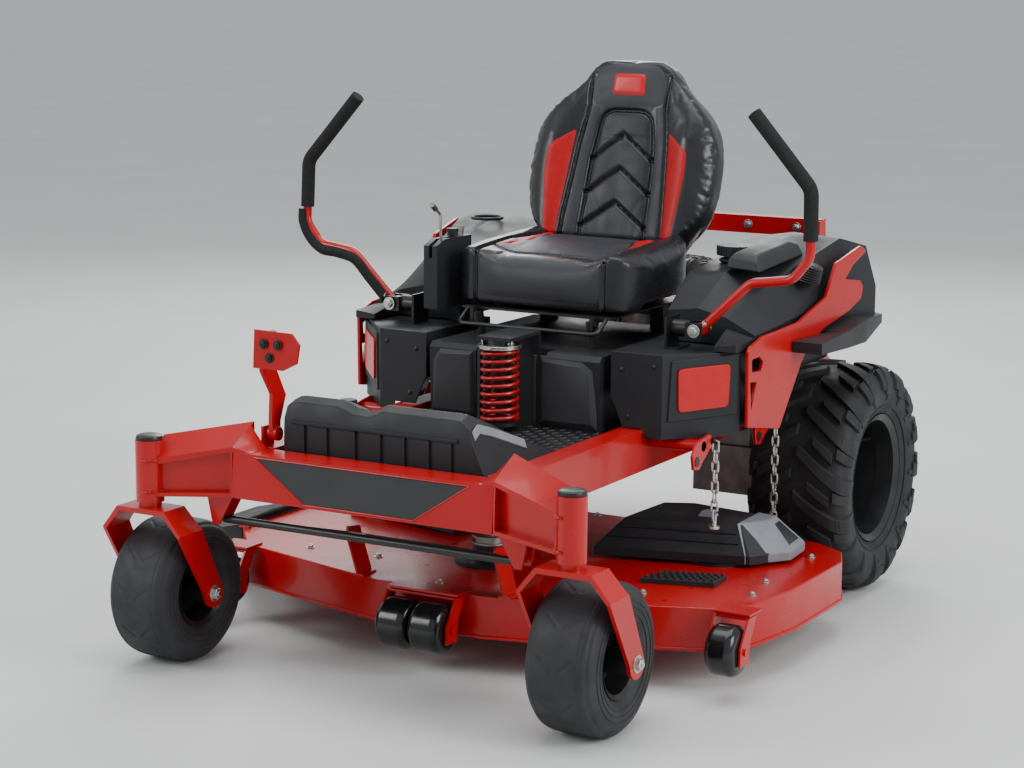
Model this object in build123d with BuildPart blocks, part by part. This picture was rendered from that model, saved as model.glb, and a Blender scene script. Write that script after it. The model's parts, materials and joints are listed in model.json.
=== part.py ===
from build123d import *
import math
import os

os.makedirs("parts", exist_ok=True)

# Millimetres, +Z up, front towards -Y. Z = 0 is the ground. The Y middle is the middle of the length.
# The X middle is the middle of the overall width with the discharge chute down, so the machine's own
# centre line stands at X = CENTRE_X. All shapes are drawn in machine coordinates, from the centre line.
CENTRE_X = 120.0
GROUND = Plane(origin=(CENTRE_X, 0, 0))
FRONT = Plane(origin=(CENTRE_X, 0, 0), x_dir=(1, 0, 0), z_dir=(0, -1, 0))
SIDE = Plane(origin=(CENTRE_X, 0, 0), x_dir=(0, 1, 0), z_dir=(1, 0, 0))
SIDES = (("left", 1), ("right", -1))
NOSE_FACE = Plane(origin=(CENTRE_X, -934, 514), x_dir=(1, 0, 0), z_dir=(0, -102, 9))

# Driving dimensions
DRIVE_X, DRIVE_Y, DRIVE_R, DRIVE_W = 510.0, 520.0, 292.0, 267.0
DRIVE_RIM_R = 152.0
CASTER_X, CASTER_PIVOT_Y, CASTER_TRAIL = 539.0, -970.0, 90.0
CASTER_R, CASTER_W, CASTER_RIM_R = 165.0, 165.0, 76.0
CASTER_Y = CASTER_PIVOT_Y + CASTER_TRAIL
RUNNING = 0.05                      # radial clearance of a shaft in its bore
GAP = 0.4                           # clearance between separate moving bodies

RAIL_IN, RAIL_OUT, RAIL_LOW, RAIL_TOP = 275.0, 335.0, 417.0, 517.0
RAIL_FRONT, RAIL_REAR, RAIL_WALL = -862.0, 860.0, 4.0
NOSE_Y, NOSE_LOW, NOSE_TOP = -934.0, 412.0, 514.0
TUBE_R, TUBE_LOW, TUBE_TOP = 32.0, 387.0, 528.0
STEM_R = 12.7

FLOOR_Z, FLOOR_T = 494.0, 6.0
PLATFORM_TRAVEL = 30.0

DECK_LEFT, DECK_RIGHT = 720.0, -700.0
DECK_LOW, DECK_TOP, DECK_WALL = 85.0, 185.0, 4.0
CHUTE_OUT = -960.0
DECK_LIFT = 60.0
BLADES = {"left": (451.0, -70.0), "centre": (0.0, -370.0), "right": (-451.0, -70.0)}
BLADE_R, BLADE_Z = 233.0, 108.0
SPINDLE_R = 12.7

SHOCK_Y, SHOCK_LOW, SHOCK_TOP = -330.0, 507.0, 706.0


def level(z):
    return GROUND.offset(z)


def front_at(y):
    return FRONT.offset(-y)


def side_at(x):
    return SIDE.offset(x)


def flip(outline, sign):
    return [(sign * u, v) for u, v in outline]


def outline_face(outline, plane):
    """A closed polygon face on a plane."""
    with BuildSketch(plane) as face:
        with BuildLine():
            Polyline(*outline, close=True)
        make_face()
    return face.sketch


def slab(outline, plane, thickness, mode=Mode.ADD, both=False):
    """Extrude a polygon; with both=True by half the thickness each way."""
    face = outline_face(outline, plane)
    extrude(face, amount=thickness / 2 if both else thickness, both=both, mode=mode)


def block(x, y, z, mode=Mode.ADD):
    """A box from (low, high) pairs in machine coordinates."""
    outline = [(x[0], y[0]), (x[1], y[0]), (x[1], y[1]), (x[0], y[1])]
    slab(outline, level(z[0]), z[1] - z[0], mode=mode)


def disc(plane, centre, radius, length, mode=Mode.ADD, both=False):
    """A cylinder standing on a plane."""
    with BuildSketch(plane) as face:
        with Locations(centre):
            Circle(radius)
    extrude(face.sketch, amount=length / 2 if both else length, both=both, mode=mode)


def hexagon(plane, centre, radius, length):
    """A hexagonal bolt head or nut."""
    with BuildSketch(plane) as face:
        with Locations(centre):
            RegularPolygon(radius, 6)
    extrude(face.sketch, amount=length)


def span(plane_a, outline_a, plane_b, outline_b, mode=Mode.ADD):
    """A straight-sided solid between two polygons with the same number of corners."""
    loft([outline_face(outline_a, plane_a), outline_face(outline_b, plane_b)], ruled=True, mode=mode)


def machine(x, y, z):
    return (CENTRE_X + x, y, z)


def bent_rod(points, bend, radius, mode=Mode.ADD):
    """A round bar along straight runs with rounded corners."""
    with BuildLine() as route:
        if len(points) > 2:
            FilletPolyline(*[machine(*p) for p in points], radius=bend)
        else:
            Line(machine(*points[0]), machine(*points[1]))
    with BuildSketch(Plane(origin=route.line @ 0, z_dir=route.line % 0)) as section:
        Circle(radius)
    sweep(section.sketch, path=route.line, mode=mode)


# Frame -----------------------------------------------------------------------------------------
with BuildPart() as frame_rails:
    block((RAIL_IN, RAIL_OUT), (RAIL_FRONT, RAIL_REAR), (RAIL_LOW, RAIL_TOP))
    block((RAIL_IN + RAIL_WALL, RAIL_OUT - RAIL_WALL), (RAIL_FRONT, RAIL_REAR),
          (RAIL_LOW + RAIL_WALL, RAIL_TOP - RAIL_WALL), mode=Mode.SUBTRACT)
    mirror(about=SIDE)
frame_rails.part.label = "frame_rails"
export_step(frame_rails.part, "parts/frame_rails.step")

# The nose is a pressed channel, open to the rear, with a shallow dark inlay panel in its face.
with BuildPart() as front_crossmember:
    slab([(-943, NOSE_LOW), (-866, NOSE_LOW), (-866, NOSE_LOW + 6), (-937, NOSE_LOW + 6),
          (-929, NOSE_TOP - 6), (RAIL_FRONT, NOSE_TOP - 6), (RAIL_FRONT, NOSE_TOP), (NOSE_Y, NOSE_TOP)],
         side_at(-RAIL_OUT), 2 * RAIL_OUT)
    slab([(-276, -6), (276, -6), (141, -96), (-141, -96)], NOSE_FACE, -3, mode=Mode.SUBTRACT)
front_crossmember.part.label = "front_crossmember"
export_step(front_crossmember.part, "parts/front_crossmember.step")

# Each caster arm is a deep pressed box that rises behind the nose and ends at the caster tube.
ARM_INNER = [(-940, 412), (-935, 525), (-850, 570), (-850, 412)]
ARM_OUTER = [(-990, 402), (-985, 487), (-938, 535), (-930, 402)]
POCKET_INNER = [(-1020, 421), (-1020, 514), (-918, 514), (-918, 421)]
POCKET_OUTER = [(-1060, 411), (-1060, 476), (-966, 476), (-966, 411)]
BACK_INNER = [(-908, 421), (-908, 528), (-846, 556), (-846, 421)]
BACK_OUTER = [(-958, 411), (-958, 496), (-926, 524), (-926, 411)]
SHOULDER_INNER = [(-932, 514), (-930, 515), (-868, 515), (-866, 514)]
SHOULDER_OUTER = [(-935, 514), (-935, 525), (-864, 563), (-864, 514)]
for name, sign in SIDES:
    with BuildPart() as caster_arm:
        span(side_at(sign * RAIL_OUT), ARM_INNER, side_at(sign * 522), ARM_OUTER)
        span(side_at(sign * 340), POCKET_INNER, side_at(sign * 507), POCKET_OUTER, mode=Mode.SUBTRACT)
        span(side_at(sign * 341), BACK_INNER, side_at(sign * 505), BACK_OUTER, mode=Mode.SUBTRACT)
        span(side_at(sign * 290), SHOULDER_INNER, side_at(sign * RAIL_OUT), SHOULDER_OUTER)
        disc(level(TUBE_LOW), (sign * CASTER_X, CASTER_PIVOT_Y), TUBE_R, TUBE_TOP - TUBE_LOW)
        disc(level(TUBE_LOW), (sign * CASTER_X, CASTER_PIVOT_Y), STEM_R + RUNNING, TUBE_TOP - TUBE_LOW,
             mode=Mode.SUBTRACT)
        disc(level(TUBE_LOW + 25), (sign * CASTER_X, CASTER_PIVOT_Y), TUBE_R - 5,
             TUBE_TOP - TUBE_LOW - 50, mode=Mode.SUBTRACT)
        slab(flip([(341, 411), (412, 408), (398, 342), (380, 342)], sign), front_at(-922), 6)
        slab(flip([(341, 411), (412, 408), (398, 342), (380, 342)], sign), front_at(-884), 6)
    caster_arm.part.label = f"caster_arm_{name}"
    export_step(caster_arm.part, f"parts/caster_arm_{name}.step")


# Casters ---------------------------------------------------------------------------------------
# The fork is one bent plate: a flat crown, chamfered shoulders and two legs that trail to the axle.
CROWN_TOP, CROWN_T = 375.0, 12.0
LEG_IN, LEG_T, LEG_R = 100.0, 9.0, 33.0
LEG_OUT = LEG_IN + LEG_T
FORK_HALF = [(LEG_OUT, 120), (LEG_OUT, 322), (66, CROWN_TOP)]
FORK_INSIDE = [(LEG_IN, 120), (LEG_IN, 318), (61, CROWN_TOP - CROWN_T)]
for name, sign in SIDES:
    mid = sign * CASTER_X
    outside = [(mid + u, v) for u, v in FORK_HALF]
    inside = [(mid + u, v) for u, v in FORK_INSIDE]
    mirror_outside = [(mid - u, v) for u, v in reversed(FORK_HALF)]
    mirror_inside = [(mid - u, v) for u, v in reversed(FORK_INSIDE)]
    with BuildPart() as caster_fork:
        slab(outside + mirror_outside + list(reversed(mirror_inside)) + list(reversed(inside)),
             front_at(CASTER_PIVOT_Y - 80), -280)
        with BuildSketch(side_at(mid)) as leg:
            with BuildLine():
                Polyline((CASTER_PIVOT_Y - 38, CROWN_TOP + 1), (CASTER_PIVOT_Y + 38, CROWN_TOP + 1),
                         (CASTER_PIVOT_Y + 44, 330), (CASTER_Y + LEG_R, CASTER_R))
                Polyline((CASTER_Y - LEG_R, CASTER_R), (CASTER_PIVOT_Y - 36, 318),
                         (CASTER_PIVOT_Y - 38, CROWN_TOP + 1))
                ThreePointArc((CASTER_Y + LEG_R, CASTER_R), (CASTER_Y, CASTER_R - LEG_R),
                              (CASTER_Y - LEG_R, CASTER_R))
            make_face()
        extrude(leg.sketch, amount=LEG_OUT + 1, both=True, mode=Mode.INTERSECT)
        disc(level(CROWN_TOP), (mid, CASTER_PIVOT_Y), 26, TUBE_LOW - GAP - CROWN_TOP)
        disc(level(CROWN_TOP), (mid, CASTER_PIVOT_Y), STEM_R, TUBE_TOP + 4 - CROWN_TOP)
        disc(level(TUBE_TOP + GAP), (mid, CASTER_PIVOT_Y), 27, 8)
        disc(side_at(mid), (CASTER_Y, CASTER_R), 8, 2 * (LEG_OUT + 2), both=True)
        hexagon(side_at(mid + LEG_OUT), (CASTER_Y, CASTER_R), 13, 9)
        hexagon(side_at(mid - LEG_OUT - 9), (CASTER_Y, CASTER_R), 13, 9)
    caster_fork.part.label = f"caster_fork_{name}"
    export_step(caster_fork.part, f"parts/caster_fork_{name}.step")


def wheel_profile(mid, y, z, points):
    """A ring made by turning (x, radius) points about the X axis through (y, z)."""
    axis = Axis(machine(mid, y, z), (1, 0, 0))
    plane = Plane(origin=machine(mid, y, z), x_dir=(1, 0, 0), z_dir=(0, -1, 0))
    with BuildSketch(plane) as section:
        with BuildLine():
            Polyline(*points, close=True)
        make_face()
    revolve(section.sketch, axis=axis)


def tyre_points(half, outer, rim, wall):
    """A hollow tyre section: tread, sidewalls and two beads."""
    shoulder, bead = 0.86 * half, 0.72 * half
    return [(-bead, rim), (-half, rim + 0.42 * (outer - rim)), (-shoulder, outer - 8), (-0.5 * half, outer),
            (0.5 * half, outer), (shoulder, outer - 8), (half, rim + 0.42 * (outer - rim)), (bead, rim),
            (bead - wall, rim), (half - wall, rim + 0.42 * (outer - rim)),
            (shoulder - wall, outer - 8 - wall), (wall - shoulder, outer - 8 - wall),
            (wall - half, rim + 0.42 * (outer - rim)),
            (wall - bead, rim)]


for name, sign in SIDES:
    mid = sign * CASTER_X
    with BuildPart() as caster_tyre:
        wheel_profile(mid, CASTER_Y, CASTER_R, tyre_points(CASTER_W / 2, CASTER_R, CASTER_RIM_R, 10))
    caster_tyre.part.label = f"caster_tyre_{name}"
    export_step(caster_tyre.part, f"parts/caster_tyre_{name}.step")

    with BuildPart() as caster_rim:
        wheel_profile(mid, CASTER_Y, CASTER_R, [
            (-72, 82), (-68, 82), (-60, CASTER_RIM_R), (60, CASTER_RIM_R), (68, 82), (72, 82), (66, 71),
            (14, 66), (12, 30), (LEG_IN - 4, 26), (LEG_IN - 4, 8 + RUNNING), (4 - LEG_IN, 8 + RUNNING),
            (4 - LEG_IN, 26), (-12, 30), (-14, 66), (-66, 71)])
    caster_rim.part.label = f"caster_rim_{name}"
    export_step(caster_rim.part, f"parts/caster_rim_{name}.step")

# Drive wheels and transaxles -----------------------------------------------------------------------
AXLE_R = 17.0
HUB_X = 60.0                        # hub face inside the wheel's middle plane
for name, sign in SIDES:
    mid = sign * DRIVE_X
    with BuildPart() as drive_tyre:
        wheel_profile(mid, DRIVE_Y, DRIVE_R,
                      tyre_points(DRIVE_W / 2, DRIVE_R, DRIVE_RIM_R, 12))
    drive_tyre.part.label = f"drive_tyre_{name}"
    export_step(drive_tyre.part, f"parts/drive_tyre_{name}.step")

    with BuildPart() as drive_rim:
        wheel_profile(mid, DRIVE_Y, DRIVE_R, [(sign * u, v) for u, v in [
            (-113, 163), (-107, 163), (-98, DRIVE_RIM_R), (98, DRIVE_RIM_R), (107, 163), (113, 163),
            (103, 147), (60, 140), (-10, 136), (-16, 118), (-14, 62), (-22, 56), (-22, 30), (0, 26),
            (0, 0), (-268, 0), (-268, AXLE_R), (-48, AXLE_R), (-48, 66), (-28, 70), (-24, 124),
            (-22, 138), (-103, 147)]])
        for angle in range(5):
            turn = math.radians(72 * angle + 18)
            lug = (DRIVE_Y + 57 * math.cos(turn), DRIVE_R + 57 * math.sin(turn))
            hexagon(side_at(mid - sign * 16 - (0 if sign > 0 else 14)), lug, 11, 14)
    drive_rim.part.label = f"drive_rim_{name}"
    export_step(drive_rim.part, f"parts/drive_rim_{name}.step")

with BuildPart() as transaxles:
    block((150, 330), (430, 610), (225, 350))
    block((190, 300), (450, 570), (350, RAIL_LOW))
    disc(side_at(330), (DRIVE_Y, DRIVE_R), 48, 50)
    disc(side_at(330), (DRIVE_Y, DRIVE_R), 34, 90)
    disc(side_at(230), (DRIVE_Y, DRIVE_R), AXLE_R + RUNNING, 200, mode=Mode.SUBTRACT)
    disc(level(350), (240, 590), 40, 40)
    mirror(about=SIDE)
transaxles.part.label = "transaxles"
export_step(transaxles.part, "parts/transaxles.step")

# Rear frame, engine guard and engine ---------------------------------------------------------------
REAR_Y = 1045.0
BUMPER_R = 21.0
with BuildPart() as rear_frame:
    block((-RAIL_OUT, RAIL_OUT), (300, 880), (RAIL_TOP, RAIL_TOP + 6))
    block((-RAIL_OUT, RAIL_OUT), (RAIL_REAR, RAIL_REAR + 6), (380, RAIL_TOP))
    for side, sign in SIDES:
        slab([(300, RAIL_TOP), (880, RAIL_TOP), (880, 600), (836, 905), (796, 905), (792, 700), (420, 640)],
             side_at(sign * 331), sign * 4)
        slab([(866, 380), (866, 523), (930, 540), (1024, 480), (1024, 440)], side_at(sign * 292), sign * 8)
    block((-331, 331), (812, 818), (860, 908))
    block((-331, 331), (818, 850), (902, 908))
    disc(side_at(-300), (REAR_Y - BUMPER_R, 460), BUMPER_R, 600)
    slab([(-45, 862), (45, 862), (30, 935), (-30, 935)], level(380), 10)
    disc(level(380), (0, 910), 8, 10, mode=Mode.SUBTRACT)
    disc(level(RAIL_TOP), (0, 590), 22, 6, mode=Mode.SUBTRACT)
rear_frame.part.label = "rear_frame"
export_step(rear_frame.part, "parts/rear_frame.step")

ENGINE_Z = RAIL_TOP + 6
with BuildPart() as engine_block:
    disc(level(ENGINE_Z), (0, 590), 130, 150)
    block((-150, 150), (500, 700), (ENGINE_Z, ENGINE_Z + 30))
    for side, sign in SIDES:
        for fin in range(7):
            slab([(sign * (118 + 16 * fin), 545), (sign * (118 + 16 * fin), 635),
                  (sign * (126 + 16 * fin), 635), (sign * (126 + 16 * fin), 545)], level(ENGINE_Z + 40), 85)
        block(sorted((sign * 110, sign * 232)), (560, 620), (ENGINE_Z + 52, ENGINE_Z + 112))
        block(sorted((sign * 226, sign * 250)), (540, 640), (ENGINE_Z + 34, ENGINE_Z + 130))
    disc(level(380), (0, 590), 14, ENGINE_Z - 380)
engine_block.part.label = "engine_block"
export_step(engine_block.part, "parts/engine_block.step")

with BuildPart() as engine_shroud:
    span(level(ENGINE_Z + 151), [(-165, 440), (165, 440), (165, 740), (-165, 740)],
         level(ENGINE_Z + 245), [(-135, 460), (135, 460), (135, 715), (-135, 715)])
    disc(level(ENGINE_Z + 245), (0, 590), 112, 34)
    disc(level(ENGINE_Z + 255), (0, 590), 104, 24, mode=Mode.SUBTRACT)
    span(level(ENGINE_Z + 151), [(-160, 445), (160, 445), (160, 735), (-160, 735)],
         level(ENGINE_Z + 240), [(-130, 465), (130, 465), (130, 710), (-130, 710)], mode=Mode.SUBTRACT)
    disc(level(ENGINE_Z + 278), (0, 590), 110, 3)
    for step in range(-3, 4):
        block((-96, 96), (588 + 26 * step, 594 + 26 * step), (ENGINE_Z + 277, ENGINE_Z + 282),
              mode=Mode.SUBTRACT)
engine_shroud.part.label = "engine_shroud"
export_step(engine_shroud.part, "parts/engine_shroud.step")

with BuildPart() as muffler:
    disc(side_at(-150), (940, 600), 62, 300)
    for side, sign in SIDES:
        bent_rod([(sign * 190, 660, 600), (sign * 190, 800, 600), (sign * 120, 900, 600)], 40, 16)
    bent_rod([(120, 940, 560), (120, 960, 510), (120, 1010, 500)], 20, 18)
muffler.part.label = "muffler"
export_step(muffler.part, "parts/muffler.step")

FILLER = (370.0, 180.0)
with BuildPart() as fuel_tank:
    block((345, 525), (64, 430), (606, 696))
    fillet(fuel_tank.edges(), radius=20)
    disc(level(690), FILLER, 29, 190)
fuel_tank.part.label = "fuel_tank"
export_step(fuel_tank.part, "parts/fuel_tank.step")

with BuildPart() as fuel_cap:
    disc(level(884), FILLER, 44, 24)
    for rib in range(18):
        turn = math.radians(20 * rib)
        disc(level(884), (FILLER[0] + 44 * math.cos(turn), FILLER[1] + 44 * math.sin(turn)), 3, 24)
fuel_cap.part.label = "fuel_cap"
export_step(fuel_cap.part, "parts/fuel_cap.step")

# Bodywork ------------------------------------------------------------------------------------------
FENDER_LOW = 700.0
FENDER_SECTIONS = [
    (-50, [(300, 700), (300, 772), (380, 782), (455, 764), (528, 728), (528, 700)]),
    (60, [(300, 700), (300, 850), (400, 858), (472, 806), (532, 735), (532, 700)]),
    (200, [(300, 700), (300, 864), (410, 878), (500, 850), (545, 752), (545, 700)]),
    (420, [(300, 700), (300, 900), (420, 920), (545, 912), (566, 800), (566, 700)]),
    (560, [(300, 700), (300, 880), (420, 896), (560, 880), (590, 780), (590, 700)])]


def inset(section, amount):
    """The same section with its walls and top moved in, open below."""
    middle = sum(x for x, z in section) / len(section)
    return [(x + (amount if x < middle else -amount), z - amount if z > FENDER_LOW else z - 1)
            for x, z in section]


FILLER_HOLE = 32.0
FLARE = [(90, [(564, 672), (564, 699), (640, 699), (640, 672)]),
         (266, [(578, 664), (578, 699), (637, 706), (637, 664)])]
FLARE_REAR = [(266, [(548, 664), (548, 699), (637, 706), (637, 664)]),
              (400, [(560, 660), (560, 722), (630, 716), (630, 660)]),
              (580, [(560, 684), (560, 712), (602, 706), (602, 684)])]
with BuildPart() as fenders:
    for (y_a, section_a), (y_b, section_b) in zip(FENDER_SECTIONS, FENDER_SECTIONS[1:]):
        span(front_at(y_a), section_a, front_at(y_b), section_b)
    span(front_at(-148), [(468, 700), (468, 712), (524, 718), (524, 700)],
         front_at(-50.4), [(455, 700), (455, 740), (528, 722), (528, 700)])
    hollow = [(y, inset(section, 5)) for y, section in FENDER_SECTIONS]
    hollow[0] = (-45, hollow[0][1])
    hollow[-1] = (555, hollow[-1][1])
    for (y_a, section_a), (y_b, section_b) in zip(hollow, hollow[1:]):
        span(front_at(y_a), section_a, front_at(y_b), section_b, mode=Mode.SUBTRACT)
    span(front_at(FLARE[0][0]), FLARE[0][1], front_at(FLARE[1][0]), FLARE[1][1])
    for (y_a, section_a), (y_b, section_b) in zip(FLARE_REAR, FLARE_REAR[1:]):
        span(front_at(y_a), section_a, front_at(y_b), section_b)
    mirror(about=SIDE)
    disc(level(800), FILLER, FILLER_HOLE, 120, mode=Mode.SUBTRACT)
fenders.part.label = "fenders"
export_step(fenders.part, "parts/fenders.step")

# A pressed trim panel follows each fender's lower edge: a front leg with two cut-outs and a rear fork.
TRIM_TURN = math.atan2(50, 580)
TRIM_OUTLINE = [(-112, 520), (-116, 699), (-104, 711), (-46, 728), (32, 732), (131, 740), (197, 762),
                (268, 784), (284, 806), (318, 863), (452, 893), (480, 878), (410, 850), (368, 818),
                (452, 806), (468, 790), (460, 760), (396, 735), (262, 708), (178, 668), (150, 640),
                (45, 493)]
TRIM_WINDOWS = [[(-98, 674), (-92, 680), (-62, 682), (-44, 668), (-52, 648), (-96, 650)],
                [(-104, 626), (-74, 624), (-98, 560)]]
with BuildPart() as fender_trims:
    for side, sign in SIDES:
        plane = Plane(origin=machine(sign * 534, -100, 0),
                      x_dir=(sign * math.sin(TRIM_TURN), math.cos(TRIM_TURN), 0),
                      z_dir=(math.cos(TRIM_TURN), -sign * math.sin(TRIM_TURN), 0))
        slab([(y + 100, z) for y, z in TRIM_OUTLINE], plane, sign * 10)
        for window in TRIM_WINDOWS:
            slab([(y + 100, z) for y, z in window], plane, sign * 10, mode=Mode.SUBTRACT)
fender_trims.part.label = "fender_trims"
export_step(fender_trims.part, "parts/fender_trims.step")

POD_LOW, POD_TOP = 519.0, 697.0
POD_PLAN = [(252, -250), (386, -250), (519, -106), (519, 60), (252, 60)]
POD_PLAN_IN = [(256, -246), (384, -246), (515, -104), (515, 61), (256, 61)]
BADGE_PLANE = Plane(origin=machine(386, -250, 0), x_dir=(133, 144, 0), z_dir=(144, -133, 0))
with BuildPart() as side_pods:
    slab(POD_PLAN, level(POD_LOW), POD_TOP - POD_LOW)
    slab(POD_PLAN_IN, level(POD_LOW), POD_TOP - POD_LOW - 4, mode=Mode.SUBTRACT)
    slab([(230, 500), (292, 500), (256, 585), (230, 585)], front_at(-260), -330, mode=Mode.SUBTRACT)
    slab([(342, -250), (386, -250), (519, -106), (475, -106)], level(POD_LOW - 20), 20)
    slab([(14, 540), (188, 552), (190, 694), (22, 682)], BADGE_PLANE, 5)
    mirror(about=SIDE)
side_pods.part.label = "side_pods"
export_step(side_pods.part, "parts/side_pods.step")

CONSOLE_X = (-300.0, -262.0)
CONSOLE_MID, CONSOLE_TOP = -281.0, 914.0
THROTTLE_PIVOT = (-130.0, 890.0)
with BuildPart() as control_console:
    slab([(-185, 745), (-185, 900), (-150, CONSOLE_TOP), (-20, CONSOLE_TOP), (-20, 745)],
         side_at(CONSOLE_X[0]), CONSOLE_X[1] - CONSOLE_X[0])
    slab([(-60, 698), (-60, 745), (-20, 745), (-20, 698)], side_at(CONSOLE_X[0]), 30)
    block((CONSOLE_MID - 5, CONSOLE_MID + 5), (-186, -100), (870, CONSOLE_TOP + 1), mode=Mode.SUBTRACT)
    disc(side_at(CONSOLE_MID - 5), THROTTLE_PIVOT, 4, 10)
    disc(level(CONSOLE_TOP - 30), (CONSOLE_MID, -45), 9, 30, mode=Mode.SUBTRACT)
    disc(level(CONSOLE_TOP - 30), (CONSOLE_MID, -80), 7, 30, mode=Mode.SUBTRACT)
control_console.part.label = "control_console"
export_step(control_console.part, "parts/control_console.step")

with BuildPart() as throttle_lever:
    disc(side_at(CONSOLE_MID - 4), THROTTLE_PIVOT, 10, 8)
    bent_rod([(CONSOLE_MID, -133, 898), (CONSOLE_MID, -140, 975), (CONSOLE_MID, -165, 992)], 9, 3.5)
    disc(side_at(CONSOLE_MID - 4), THROTTLE_PIVOT, 4 + RUNNING, 8, mode=Mode.SUBTRACT)
    disc(Plane(origin=machine(CONSOLE_MID, -160, 988), z_dir=(0, -25, 17)), (0, 0), 7, 22)
throttle_lever.part.label = "throttle_lever"
export_step(throttle_lever.part, "parts/throttle_lever.step")

with BuildPart() as ignition_key:
    disc(level(CONSOLE_TOP - 29), (CONSOLE_MID, -45), 9 - RUNNING, 31)
    slab([(-10, 2), (10, 2), (12, 24), (-12, 24)], Plane(origin=machine(CONSOLE_MID, -43.5, CONSOLE_TOP),
         x_dir=(1, 0, 0), z_dir=(0, -1, 0)), 3)
ignition_key.part.label = "ignition_key"
export_step(ignition_key.part, "parts/ignition_key.step")

with BuildPart() as pto_knob:
    disc(level(CONSOLE_TOP - 12), (CONSOLE_MID, -80), 7 - RUNNING, 14)
    disc(level(CONSOLE_TOP + 2), (CONSOLE_MID, -80), 13, 10)
    disc(level(CONSOLE_TOP + 12), (CONSOLE_MID, -80), 15, 8)
pto_knob.part.label = "pto_knob"
export_step(pto_knob.part, "parts/pto_knob.step")

# Suspended platform --------------------------------------------------------------------------------
FLOOR_SIDE = 268.0
with BuildPart() as floor_pan:
    block((-FLOOR_SIDE, FLOOR_SIDE), (-856, 250), (FLOOR_Z, FLOOR_Z + FLOOR_T))
    disc(level(FLOOR_Z), (0, SHOCK_Y), 24, FLOOR_T, mode=Mode.SUBTRACT)
floor_pan.part.label = "floor_pan"
export_step(floor_pan.part, "parts/floor_pan.step")

REST_LOW = FLOOR_Z + FLOOR_T
with BuildPart() as footrest:
    slab([(-852, REST_LOW), (-852, 590), (-838, 616), (-800, 622), (-640, 560), (-520, 512),
          (-500, REST_LOW)], side_at(-258), 516)
    slab([(212, 640), (294, 545), (294, 640)], front_at(-870), -380, mode=Mode.SUBTRACT)
    for x_low, x_high in ((-240, -110), (-10, 190)):
        slab([(-846, 560), (-846, 600), (-832, 630), (-796, 637), (-650, 580), (-640, 560)],
             side_at(x_low), x_high - x_low)
footrest.part.label = "footrest"
export_step(footrest.part, "parts/footrest.step")

CONSOLE_FRONT, CONSOLE_HALF, PANEL_TOP = -262.0, 232.0, 680.0
with BuildPart() as center_console:
    slab([(CONSOLE_FRONT, REST_LOW), (CONSOLE_FRONT - 6, PANEL_TOP - 12), (CONSOLE_FRONT + 6, PANEL_TOP),
          (250, PANEL_TOP), (250, REST_LOW)], side_at(-CONSOLE_HALF), 2 * CONSOLE_HALF)
    block((-102, 88), (CONSOLE_FRONT - 10, CONSOLE_FRONT + 45), (REST_LOW, PANEL_TOP + 1),
          mode=Mode.SUBTRACT)
    block((-CONSOLE_HALF + 5, CONSOLE_HALF - 5), (CONSOLE_FRONT + 50, 245), (REST_LOW, PANEL_TOP - 5),
          mode=Mode.SUBTRACT)
    block((-45, 45), (CONSOLE_FRONT + 40, CONSOLE_FRONT + 50), (PANEL_TOP - 5, 722))
    block((-45, 45), (-362, CONSOLE_FRONT + 50), (714, 722))
    for side, sign in SIDES:
        slab([(-163, PANEL_TOP), (-163, 708), (-184, 724), (-184, 748), (-150, 748), (-138, PANEL_TOP)],
             side_at(sign * 150), sign * 8)
        disc(side_at(sign * 150), (-172, 738), 6 - RUNNING, sign * 22)
        block(sorted((sign * 140, sign * 175)), (180, 215), (PANEL_TOP, 741.5))
center_console.part.label = "center_console"
export_step(center_console.part, "parts/center_console.step")

TUBE_IN = 9.0
with BuildPart() as shock_tube:
    disc(level(590), (0, SHOCK_Y), 19, 714 - 590)
    disc(level(590), (0, SHOCK_Y), TUBE_IN + RUNNING, 90, mode=Mode.SUBTRACT)
    disc(level(692), (0, SHOCK_Y), 49, 10)
    disc(level(702), (0, SHOCK_Y), 30, 12)
    disc(side_at(-34), (SHOCK_Y - 10, 708), 5, 68)
shock_tube.part.label = "shock_tube"
export_step(shock_tube.part, "parts/shock_tube.step")

with BuildPart() as shock_rod:
    disc(level(452), (0, SHOCK_Y), TUBE_IN, 600 - 452)
    disc(level(506), (0, SHOCK_Y), 22, 6)
    disc(level(512), (0, SHOCK_Y), 49, 8)
shock_rod.part.label = "shock_rod"
export_step(shock_rod.part, "parts/shock_rod.step")

SPRING_LOW, SPRING_TOP, SPRING_R, SPRING_WIRE = 520.5, 691.5, 42.0, 5.0
with BuildPart() as shock_spring:
    disc(level(SPRING_LOW), (0, SHOCK_Y), SPRING_R + SPRING_WIRE, SPRING_TOP - SPRING_LOW)
    disc(level(SPRING_LOW), (0, SHOCK_Y), SPRING_R - SPRING_WIRE, SPRING_TOP - SPRING_LOW,
         mode=Mode.SUBTRACT)
shock_spring.part.label = "shock_spring"
export_step(shock_spring.part, "parts/shock_spring.step")

# Seat ----------------------------------------------------------------------------------------------
SEAT_HINGE = (-172.0, 738.0)
PLATE_Z = 752.0
with BuildPart() as seat_plate:
    block((-205, 205), (-160, 300), (PLATE_Z, PLATE_Z + 5))
    for side, sign in SIDES:
        block(sorted((sign * 160, sign * 168)), (-160, 285), (742, PLATE_Z))
        slab([(SEAT_HINGE[0] - 12, SEAT_HINGE[1] - 12), (SEAT_HINGE[0] - 12, 757), (-150, 757), (-150, 742),
              (SEAT_HINGE[0] + 12, SEAT_HINGE[1] - 12)], side_at(sign * 160), sign * 8)
        disc(side_at(sign * 158), SEAT_HINGE, 6, sign * 12, mode=Mode.SUBTRACT)
        block(sorted((sign * 120, sign * 150)), (-100, 240), (PLATE_Z + 5, PLATE_Z + 23))
    bent_rod([(190, -152, 754), (190, -205, 722), (-190, -205, 722), (-190, -152, 754)], 16, 5)
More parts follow.
